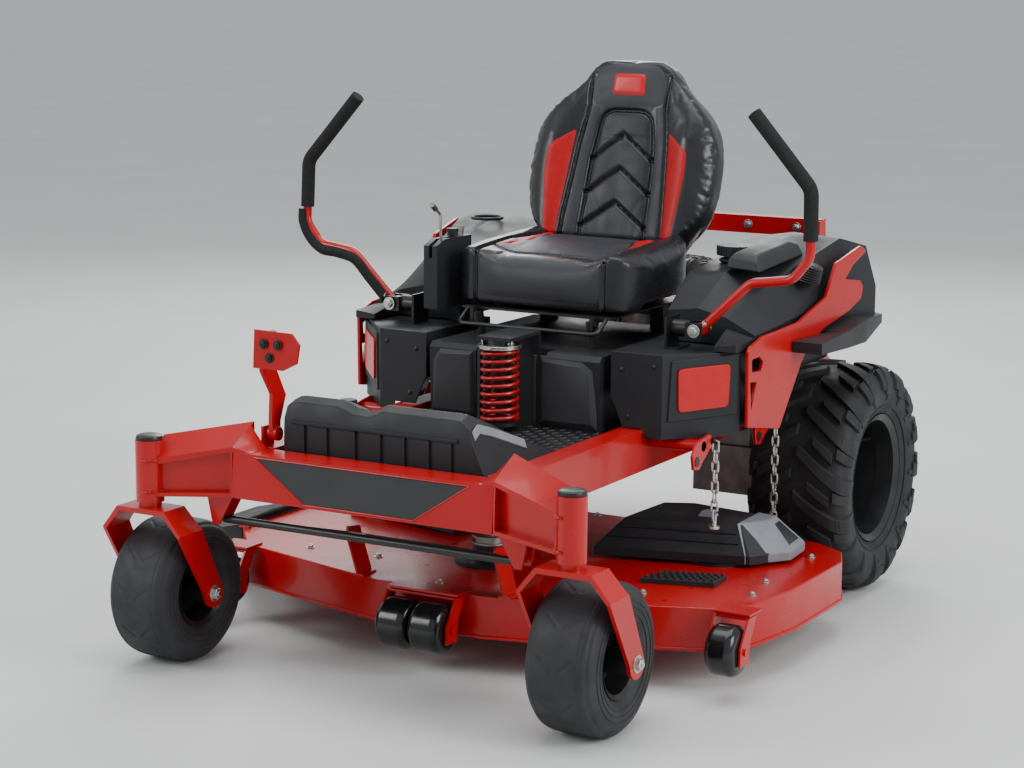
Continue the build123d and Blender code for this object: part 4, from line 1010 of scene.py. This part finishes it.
def footrest():
    """The moulded rest: two raised foot pads between lower saddles, ribs on its front face."""
    low = low_of("footrest")
    base = low.z
    # Stations are (x, share of the pad's lift at that x); rows are (y, height, height the pad adds).
    stations = [(-256, 0.25), (-238, 0.85), (-222, 1.0), (-122, 1.0), (-104, 0.72), (-84, 0.15),
                (-38, 0.0),
                (-22, 0.45), (-8, 0.95), (8, 1.0), (178, 1.0), (196, 0.9)]
    rows = [(-0.850, 0.0, 0), (-0.850, 0.060, 0.0), (-0.848, 0.082, 0.010), (-0.836, 0.106, 0.016),
            (-0.806, 0.116, 0.017), (-0.760, 0.100, 0.016), (-0.690, 0.072, 0.015), (-0.645, 0.054,
                                                                                     0.010),
            (-0.632, 0.049, 0.0), (-0.560, 0.022, 0.0), (-0.505, 0.004, 0.0), (-0.502, 0.0, 0.0)]
    bm = bmesh.new()
    rings = []
    for x, lift in stations:
        rings.append([Vector((MACHINE_X + x / 1000, y, base + z + extra * lift)) for y, z, extra in rows])
    slope = [Vector((MACHINE_X + 0.216 + 0.052 * (1 - min(1.0, z / 0.116)), y, base + z * 0.97)) for y, z,
             _ in rows]
    rings.append(slope)
    add_rings(bm, rings)
    make_piece("footrest_moulding", bm, "platform", PLASTIC, bevel=0.0035, segments=3,
               replaces=["footrest"])
    bm = bmesh.new()
    for x in (-200, -140, -66, 0, 62, 124, 180):
        add_box(bm, at(x - 3, -856, 506), at(x + 3, -846, 574))
    add_box(bm, at(-232, -855, 576), at(196, -846, 583))
    make_piece("footrest_ribs", bm, "platform", PLASTIC, bevel=0.001)
    bm = bmesh.new()
    upper = [slope[i].lerp(slope[i - 1], 0.10) for i in (3, 4, 5, 6, 7)]
    lower = [p + Vector((0.007, 0.0, -0.020)) for p in reversed(upper)]
    add_prism(bm, [p + ACROSS * 0.001 for p in upper + lower], Vector((0.0035, 0, 0.0025)))
    make_piece("footrest_end", bm, "platform", GREY, bevel=0.0015)


def raised_facet(bm, sheet, outline, border, depth):
    """A broad panel that stands out from its sheet with a bevelled border all round."""
    count = len(outline)
    centre = (sum(p[0] for p in outline) / count, sum(p[1] for p in outline) / count)
    inner = []
    for u, v in outline:
        run = math.hypot(centre[0] - u, centre[1] - v)
        inner.append((u + (centre[0] - u) / run * border, v + (centre[1] - v) / run * border))
    rings = [[sheet.point(u, v, -0.001) for u, v in outline],
             [sheet.point(u, v, 0.002) for u, v in outline],
             [sheet.point(u, v, depth) for u, v in inner]]
    add_rings(bm, rings)


def console_panels():
    """Bevelled facets and vertical ribs on the console's face, either side of the shock."""
    face = Sheet(at(0, -262, 500), ACROSS, UP)
    bm = bmesh.new()
    raised_facet(bm, face, [(0.070, 0.004), (0.226, 0.004), (0.218, 0.150), (0.190, 0.172),
                            (0.070, 0.172)], 0.020, 0.012)
    raised_facet(bm, face, [(-0.226, 0.004), (-0.104, 0.004), (-0.104, 0.172), (-0.205, 0.172),
                            (-0.224, 0.146)],
                 0.018, 0.012)
    for u in (-0.092, 0.060, -0.076):
        add_prism(bm, [face.point(u - 0.004, 0.004, 0), face.point(u + 0.004, 0.004, 0),
                       face.point(u + 0.004, 0.172, 0), face.point(u - 0.004, 0.172, 0)], face.n * 0.010)
    make_piece("console_panels", bm, "platform", PANEL, bevel=0.0030, segments=3)


def pod_details():
    """Badge plates and screws on the side pods."""
    for name, sign in SIDES:
        corner, along = at(sign * 386, -250, 0), Vector((sign * 133, 144, 0))
        sheet = Sheet(corner, along * sign, UP)
        outward = sheet.n if sheet.n.y < 0 else -sheet.n
        us = [sign * u for u in (0.040, 0.163)]
        plate = rounded([(us[0] - sign * 0.002, 0.562), (us[1], 0.571), (us[1] + sign * 0.004, 0.672),
                         (us[0] - sign * 0.004, 0.664)], 0.012, 4)
        bm = bmesh.new()
        outline = [sheet.point(u, v) + outward * 0.0045 for u, v in plate]
        add_prism(bm, outline, outward * 0.0055)
        make_piece(f"pod_badge_{name}", bm, "chassis", BADGE, bevel=0.0018, segments=3)
        bm = bmesh.new()
        for x, y, z in ((282, -250, 655), (300, -250, 545), (366, -250, 668)):
            add_turned(bm, at(sign * x, y + 0.5, z), -REARWARD,
                       [(0, 0.0055), (0.002, 0.0055), (0.0035, 0.0035)], 16)
        make_piece(f"pod_screws_{name}", bm, "chassis", BLACK)


# Frame and deck details ----------------------------------------------------------------------------
def nose_inlay():
    """The dark panel that fills the nose's shallow recess."""
    sheet = Sheet(at(0, -934, 514), ACROSS, Vector((0, 9, 102)))
    plate = [(-0.273, -0.008), (0.273, -0.008), (0.140, -0.0945), (-0.140, -0.0945)]
    bm = bmesh.new()
    outward = sheet.n if sheet.n.y < 0 else -sheet.n
    add_prism(bm, [sheet.point(u, v) - outward * 0.0031 for u, v in plate], outward * 0.0026)
    make_piece("nose_inlay", bm, "chassis", PANEL, bevel=0.0006)
    bm = bmesh.new()
    edges = [(-0.276, -0.006), (0.276, -0.006), (0.141, -0.096), (-0.141, -0.096)]
    for a, b in zip(edges, edges[1:] + edges[:1]):
        add_tube(bm, [sheet.point(*a) + outward * 0.0002, sheet.point(*b) + outward * 0.0002], 0.0016, 8)
    make_piece("nose_inlay_lip", bm, "chassis", RED)


def chain(name, top, bottom, body):
    """Welded round-link chain hung between two points."""
    link, wire, wide = 0.030, 0.0028, 0.0075
    pitch = link - 2.4 * wire
    count = max(2, round((top - bottom).length / pitch))
    step = (bottom - top) / count
    direction = step.normalized()
    first, second = side_axes(direction)
    bm = bmesh.new()
    for i in range(count):
        centre = top + step * (i + 0.5)
        across = first if i % 2 else second
        path = []
        for k in range(28):
            angle = 2 * math.pi * k / 28
            lengthwise = math.cos(angle)
            stretch = math.copysign(link / 2 - wide, lengthwise) if abs(lengthwise) > 1e-6 else 0
            path.append(centre + direction * (lengthwise * wide + stretch)
                        + across * math.sin(angle) * wide)
        add_tube(bm, path, wire, 8, joined=True)
    piece = make_piece(name, bm, body, STEEL)
    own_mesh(piece)


def deck_hangers():
    """Lift shafts and arms outside the rails, and the chains that carry the deck."""
    bm = bmesh.new()
    for sign in (1, -1):
        for y in (-200, 150):
            add_turned(bm, at(sign * 336, y, 484), ACROSS * sign, [(0, 0.014), (0.136, 0.014)], 24)
            plate = [at(sign * 464, y - 58, 470), at(sign * 464, y - 34, 500),
                     at(sign * 464, y + 34, 508),
                     at(sign * 464, y + 62, 494), at(sign * 464, y + 44, 474), at(sign * 464, y + 4, 452),
                     at(sign * 464, y - 22, 432), at(sign * 464, y - 50, 436)]
            add_prism(bm, plate, ACROSS * sign * 0.008)
    make_piece("lift_arms", bm, "chassis", RED, bevel=0.0018, segments=3)
    bm = bmesh.new()
    for sign in (1, -1):
        for y in (-200, 150):
            add_turned(bm, at(sign * 463, y - 36, 454), ACROSS * sign, [(0, 0.012), (0.0105, 0.012)], 20)
            add_bolt(bm, at(sign * 472, y + 48, 490), ACROSS * sign, 0.0075)
    make_piece("lift_arm_bosses", bm, "chassis", BLACK, bevel=0.0006)
    bm = bmesh.new()
    for sign in (1, -1):
        for y in (-152, 198):
            base = at(sign * 480, y, 0) + UP * (high_of("deck_shell").z + (0.096 if y < 0 else 0.0))
            add_turned(bm, base - UP * 0.001, UP,
                       [(0, 0.014), (0.006, 0.014), (0.008, 0.006), (0.020, 0.006)], 20)
    make_piece("chain_anchors", bm, "deck", STEEL, bevel=0.0005)
    deck = high_of("deck_shell").z
    for name, sign in SIDES:
        front, rear = at(sign * 480, -152, 488), at(sign * 480, 198, 488)
        chain(f"hanger_chain_front_{name}", front, Vector((front.x, front.y, deck + 0.112)), "chassis")
        chain(f"hanger_chain_rear_{name}", rear, Vector((rear.x, rear.y, deck + 0.016)), "chassis")


def deck_details():
    """Step pad, rolled lower edge and bolts on the deck."""
    top = high_of("deck_shell").z
    bm = bmesh.new()
    pad = points_at([(392, -366, 0), (560, -318, 0), (556, -240, 0), (420, -282, 0)])
    lift = UP * (top - pad[0].z)
    add_prism(bm, [p + lift for p in pad], UP * 0.012)
    for i in range(10):
        for k in range(4):
            share, deep = (i + 0.5) / 10, (k + 0.5) / 4
            spot = (pad[0].lerp(pad[1], share)).lerp(pad[3].lerp(pad[2], share), deep) + lift + UP * 0.011
            add_turned(bm, spot, UP, [(0, 0.0066), (0.007, 0.0045)], 4, math.pi / 4)
    make_piece("deck_step_pad", bm, "deck", RUBBER, bevel=0.0008)

    outline = [(v.x, v.y) for v in deck_outline()]
    bm = bmesh.new()
    base = low_of("deck_shell").z
    rim = [Vector((x, y, base + 0.004)) for x, y in outline]
    add_tube(bm, rim, 0.0045, 10, joined=True)
    make_piece("deck_rolled_edge", bm, "deck", RED, sharp=60)

    bm = bmesh.new()
    spots = [(640, -210), (640, 60), (560, 150), (350, 178), (0, 178), (-350, 178), (-560, 150),
             (250, -470),
             (-250, -470), (0, -600), (440, -440), (-440, -480), (660, -330)]
    for x, y in spots:
        add_bolt(bm, at(x, y, 0) + UP * top, UP, 0.0078)
    make_piece("deck_bolts", bm, "deck", STEEL, bevel=0.0006)


def deck_outline():
    """The deck's plan, walked round its CAD box with the shell's own corner cuts."""
    low, high = low_of("deck_shell"), high_of("deck_shell")
    right, left, front, rear = low.x, high.x, low.y, high.y
    corners = [(left, -0.230), (left, 0.060), (left - 0.038, 0.150), (left - 0.120, rear),
               (right + 0.100, rear),
               (right + 0.028, 0.150), (right, 0.060), (right, -0.400), (right + 0.110, -0.530),
               (MACHINE_X - 0.300, -0.608), (MACHINE_X - 0.140, front), (MACHINE_X + 0.140, front),
               (MACHINE_X + 0.300, -0.608), (MACHINE_X + 0.560, -0.505), (MACHINE_X + 0.640, -0.475),
               (MACHINE_X + 0.692, -0.400)]
    return [Vector((x, y, 0)) for x, y in corners]


def cover_ends():
    """Grey moulded end caps on the belt covers, each with a black plate on its outer side that paints the
    shade of an opening, and a grey boss on top.
    """
    base = low_of("belt_covers").z
    for name, sign in SIDES:
        foot = mirrored(sign, [(548, -128, 0), (624, -24, 0), (614, 84, 0), (552, 92, 0)])
        crown = mirrored(sign, [(512, -96, 0), (565, -22, 0), (557, 32, 0), (508, 40, 0)])
        rings = [[p + UP * (base - p.z - 0.001) for p in foot],
                 [p + UP * (base - p.z + 0.022) for p in foot],
                 [p + UP * (base - p.z + 0.091) for p in crown]]
        bm = bmesh.new()
        add_rings(bm, rings)
        make_piece(f"belt_cover_end_{name}", bm, "deck", GREY, bevel=0.004, segments=3)
        corners = [rings[1][1], rings[1][2], rings[2][2], rings[2][1]]
        centre = sum(corners, Vector()) / 4
        outward = (corners[1] - corners[0]).cross(corners[2] - corners[1]).normalized()
        outward = outward if outward.x * sign > 0 else -outward
        # Painted shade: a black plate that stands for the dark inside of an opening in the cap.
        shade_outline = [centre + (p - centre) * 0.66 for p in corners]
        bm = bmesh.new()
        add_prism(bm, [p - outward * 0.004 for p in shade_outline], outward * 0.0052)
        make_piece(f"belt_cover_shade_plate_{name}", bm, "deck", BLACK, bevel=0.0006)
        bm = bmesh.new()
        boss = mirrored(sign, [(392, -62, 0), (440, -58, 0), (436, -26, 0), (398, -22, 0)])
        top = mirrored(sign, [(402, -54, 0), (432, -50, 0), (430, -32, 0), (404, -30, 0)])
        height = high_of("belt_covers").z
        add_rings(bm, [[p + UP * (height - p.z - 0.001) for p in boss],
                       [p + UP * (height - p.z + 0.013) for p in top]])
        make_piece(f"belt_cover_boss_{name}", bm, "deck", GREY, bevel=0.002, segments=3)
        bm = bmesh.new()
        for share in (0.30, 0.62):
            low = mirrored(sign, [(250, -160, 0), (505, -94, 0)])
            foot_line = mirrored(sign, [(200, -216, 0), (540, -128, 0)])
            a = low[0].lerp(foot_line[0], share)
            b = low[1].lerp(foot_line[1], share)
            z = base + 0.088 - 0.066 * share
            add_tube(bm, [Vector((a.x, a.y, z)), Vector((b.x, b.y, z))], 0.0028, 10)
        make_piece(f"belt_cover_ridges_{name}", bm, "deck", PLASTIC)


def weld_beads():
    """Rippled weld beads where the caster tubes meet the arms."""
    for name, sign in SIDES:
        centre = at(sign * 539, -970, 0)
        bm = bmesh.new()
        for height in (0.412, 0.484):
            path = []
            for k in range(70):
                angle = math.pi * 0.5 + sign * math.pi * 0.5 + math.pi * (k / 69 - 0.5) * 0.9
                wobble = 0.0008 * math.sin(k * 1.9)
                path.append(centre + Vector((math.cos(angle) * (0.033 + wobble),
                                             math.sin(angle) * (0.033 + wobble),
                                             height + 0.0006 * math.sin(k * 2.3))))
            add_tube(bm, path, lambda s: 0.0032 + 0.0007 * math.sin(s * 260), 8)
        make_piece(f"caster_tube_weld_{name}", bm, "chassis", RED)


def rear_details():
    """Engine dressing, guard bolts and the muffler's straps."""
    bm = bmesh.new()
    for sign in (1, -1):
        for x, z in ((262, 884), (120, 884)):
            add_bolt(bm, at(sign * x, 812, z), -REARWARD, 0.009)
        for y, z in ((380, 560), (560, 600), (760, 640)):
            add_bolt(bm, at(sign * 335, y, z), ACROSS * sign, 0.009)
    make_piece("guard_bolts", bm, "chassis", STEEL, bevel=0.0006)

    shroud = middle_of("engine_shroud")
    top = high_of("engine_shroud").z
    hub = Vector((shroud.x, 0.590, top + 0.001))
    bm = bmesh.new()
    for radius in (0.030, 0.052, 0.074, 0.096):
        add_tube(bm, circle(hub, ACROSS, REARWARD, radius, 64), 0.0022, 8, joined=True)
    for spoke in circle(Vector(), ACROSS, REARWARD, 1, 12):
        add_tube(bm, [hub + spoke * r for r in (0.012, 0.104)], 0.0022, 8)
    make_piece("engine_screen", bm, "chassis", BLACK)

    bm = bmesh.new()
    body = [(0, 0.045), (0.004, 0.052), (0.235, 0.052), (0.239, 0.045)]
    add_turned(bm, at(-122, 486, 770), ACROSS, body, 40)
    rib = [(0, 0.053), (0.002, 0.0545), (0.008, 0.0545), (0.010, 0.053)]
    for k in range(9):
        add_turned(bm, at(-110 + 26 * k, 486, 770), ACROSS, rib, 40)
    make_piece("air_cleaner", bm, "chassis", PLASTIC)

    bm = bmesh.new()
    for x in (-100, 0, 100):
        add_tube(bm, circle(at(x, 940, 600), REARWARD, UP, 0.0635, 48), 0.0030, 8, joined=True)
    for sign in (1, -1):
        add_turned(bm, at(sign * 150, 940, 600), ACROSS * sign,
                   [(0, 0.062), (0.005, 0.058), (0.008, 0.040)], 40)
    make_piece("muffler_straps", bm, "chassis", MUFFLER)


def fender_details():
    """Rings on the fender tops, and the left fender's armrest hump and ribbed cap."""
    bm = bmesh.new()
    add_tube(bm, circle(at(-420, 330, 914), ACROSS, REARWARD, 0.040, 48), 0.0042, 10, joined=True)
    add_tube(bm, circle(at(370, 180, 872), ACROSS, REARWARD, 0.036, 48), 0.0045, 10, joined=True)
    make_piece("fender_rings", bm, "chassis", PLASTIC)
    hump = [[(398, 60, 866), (492, 50, 862), (500, 300, 880), (398, 330, 890)],
            [(402, 66, 892), (480, 58, 886), (488, 292, 906), (402, 322, 914)],
            [(416, 92, 906), (466, 86, 902), (470, 270, 916), (416, 296, 919)]]
    bm = bmesh.new()
    add_rings(bm, [[at(*p) for p in ring] for ring in hump])
    make_piece("armrest_hump", bm, "chassis", PLASTIC, bevel=0.006, segments=4)
    bm = bmesh.new()
    for k in range(7):
        lean = Vector((0.32, 0, 0.95)).normalized()
        size = 0.038 - 0.002 * k
        add_turned(bm, at(530 + 3.2 * k, 236, 830 + 5.0 * k), lean,
                   [(0, size), (0.003, 0.039 - 0.002 * k), (0.006, 0.035 - 0.002 * k)], 36)
    make_piece("fender_ribbed_cap", bm, "chassis", BLACK)


def lever_details():
    """Pivot bolts, and a black foam tube over the right lever's bar that paints the bar's shade."""
    for name, sign in SIDES:
        pin = at(sign * 419, -125, 744)
        bm = bmesh.new()
        add_bolt(bm, pin - REARWARD * 0.031, -REARWARD, 0.011)
        add_bolt(bm, pin + REARWARD * 0.031, REARWARD, 0.011)
        add_bolt(bm, at(sign * 437, -140, 760), ACROSS * sign, 0.006)
        make_piece(f"lever_pivot_bolts_{name}", bm, f"lever_pivot_{name}", STEEL,
                   bevel=0.0006)
    # Painted shade: this black tube over the right lever's bar stands for the shade on the bar.
    bm = bmesh.new()
    path = points_at([(-444, -133, 754), (-492, -131, 800), (-538, -129, 844), (-592, -128, 858),
                      (-640, -127, 864), (-676, -126, 893), (-696, -124, 930), (-698, -121, 962)])
    add_tube(bm, curve_through(path, 7), 0.0135, 14)
    make_piece("lever_shade_sleeve_right", bm, "lever_arm_right", FOAM)


def pedal_details():
    """Three bolt heads on the lift pedal's pad."""
    bm = bmesh.new()
    front = low_of("lift_pedal").y
    for x, z in ((-278, 756), (-262, 726), (-240, 756)):
        add_bolt(bm, at(x, 1000 * front + 1.0, z), -REARWARD, 0.008)
    make_piece("pedal_bolts", bm, "pedal", BLACK, bevel=0.0006)


def height_plate():
    """The red plate with a yellow edge beside the height dial, and the dial's grip ribs."""
    bm = bmesh.new()
    add_prism(bm, points_at([(-332, -585, 524), (-232, -585, 524), (-232, -440, 524), (-332, -440, 524)]),
              UP * 0.002)
    make_piece("height_plate", bm, "chassis", RED, bevel=0.0005)
    bm = bmesh.new()
    add_prism(bm, points_at([(-246, -584, 526), (-233, -584, 526), (-233, -441, 526), (-246, -441, 526)]),
              UP * 0.0006)
    make_piece("height_scale", bm, "chassis", YELLOW)
    centre, top = middle_of("height_dial"), high_of("height_dial").z
    bm = bmesh.new()
    hub = Vector((centre.x, centre.y, top - 0.028))
    for foot in circle(hub, ACROSS, REARWARD, 0.0198, 20):
        add_turned(bm, foot, UP, [(0, 0.0022), (0.024, 0.0022), (0.027, 0.0014)], 8)
    make_piece("height_dial_ribs", bm, "dial", PLASTIC)


# Stage ---------------------------------------------------------------------------------------------
CAMERA_PLACE = (2787.6, -5181.6, 1618.5)      # millimetres from the centre line
CAMERA_YAW, CAMERA_PITCH, CAMERA_ROLL = math.radians(29.584), math.radians(10.251), math.radians(0.385)
CAMERA_LENS = 84.78


def camera():
    data = bpy.data.cameras.new("camera")
    data.lens = CAMERA_LENS
    data.sensor_width = 36.0
    data.clip_end = 200
    eye = bpy.data.objects.new("camera", data)
    bpy.context.scene.collection.objects.link(eye)
    forward = Vector((-math.sin(CAMERA_YAW) * math.cos(CAMERA_PITCH),
                      math.cos(CAMERA_YAW) * math.cos(CAMERA_PITCH), -math.sin(CAMERA_PITCH)))
    level = Vector((math.cos(CAMERA_YAW), math.sin(CAMERA_YAW), 0))
    above = level.cross(forward)
    right = level * math.cos(CAMERA_ROLL) + above * math.sin(CAMERA_ROLL)
    top = above * math.cos(CAMERA_ROLL) - level * math.sin(CAMERA_ROLL)
    turn = Matrix((right, top, -forward)).transposed()
    eye.matrix_world = Matrix.Translation(at(*CAMERA_PLACE)) @ turn.to_4x4()
    bpy.context.scene.camera = eye


def softbox(name, place, aim, size, power, color=(1, 1, 1)):
    data = bpy.data.lights.new(name, "AREA")
    data.shape = "RECTANGLE"
    data.size, data.size_y = size
    data.energy = power
    data.color = color
    lamp = bpy.data.objects.new(name, data)
    bpy.context.scene.collection.objects.link(lamp)
    lamp.location = place
    lamp.rotation_euler = (Vector(aim) - Vector(place)).to_track_quat("-Z", "Y").to_euler()


def stage():
    look = Look("pale studio floor", (0.66, 0.67, 0.66), 0.60)
    look.mottle(1.2, (0.70, 0.71, 0.70), 0.8).polish(2, 0.55, 0.68).grain(60, 0.05, 0.001)
    bm = bmesh.new()
    bmesh.ops.create_grid(bm, x_segments=2, y_segments=2, size=160)
    mesh = bpy.data.meshes.new("floor")
    bm.to_mesh(mesh)
    bm.free()
    mesh.materials.append(look.material)
    floor = bpy.data.objects.new("floor", mesh)
    bpy.context.scene.collection.objects.link(floor)
    floor.location.z = CAD_BOX[0].z - 0.0005
    world = bpy.data.worlds.new("studio")
    world.use_nodes = True
    world.node_tree.nodes["Background"].inputs["Color"].default_value = (0.86, 0.90, 0.92, 1)
    world.node_tree.nodes["Background"].inputs["Strength"].default_value = 0.75
    bpy.context.scene.world = world
    softbox("overhead", (0.3, -0.2, 5.2), (0.1, 0.1, 0.3), (4.5, 3.5), 150)
    softbox("front_left", (-4.2, -5.0, 3.6), (0.0, -0.3, 0.6), (2.5, 2.5), 150)
    softbox("right_side", (5.5, -0.5, 3.0), (0.2, 0.0, 0.6), (2.5, 3.0), 190)
    softbox("behind", (-2.5, 5.0, 3.6), (0.0, 0.3, 0.9), (3.5, 2.5), 170)


# Scene ---------------------------------------------------------------------------------------------
dress_cad()
for node in ("front_crossmember", "caster_arm_left", "caster_arm_right", "frame_rails",
             "caster_fork_left",
             "caster_fork_right", "rear_frame", "deck_brackets", "lift_pedal", "deck_link", "seat_plate"):
    soften(node, 0.0022)
for node in ("side_pods", "control_console", "center_console", "belt_covers", "engine_shroud",
             "fuel_tank"):
    soften(node, 0.0045, 3)
soften("fenders", 0.010, 4)
soften("fender_trims", 0.003, 3)
soften("deck_shell", 0.0035, 3)
soften("discharge_chute", 0.0015)
drive_tyres()
caster_tyres()
wheel_hardware()
seat_cushion()
seat_back()
coil_spring()
tread_plate()
footrest()
console_panels()
pod_details()
nose_inlay()
deck_hangers()
deck_details()
cover_ends()
weld_beads()
rear_details()
fender_details()
lever_details()
pedal_details()
height_plate()
camera()
stage()
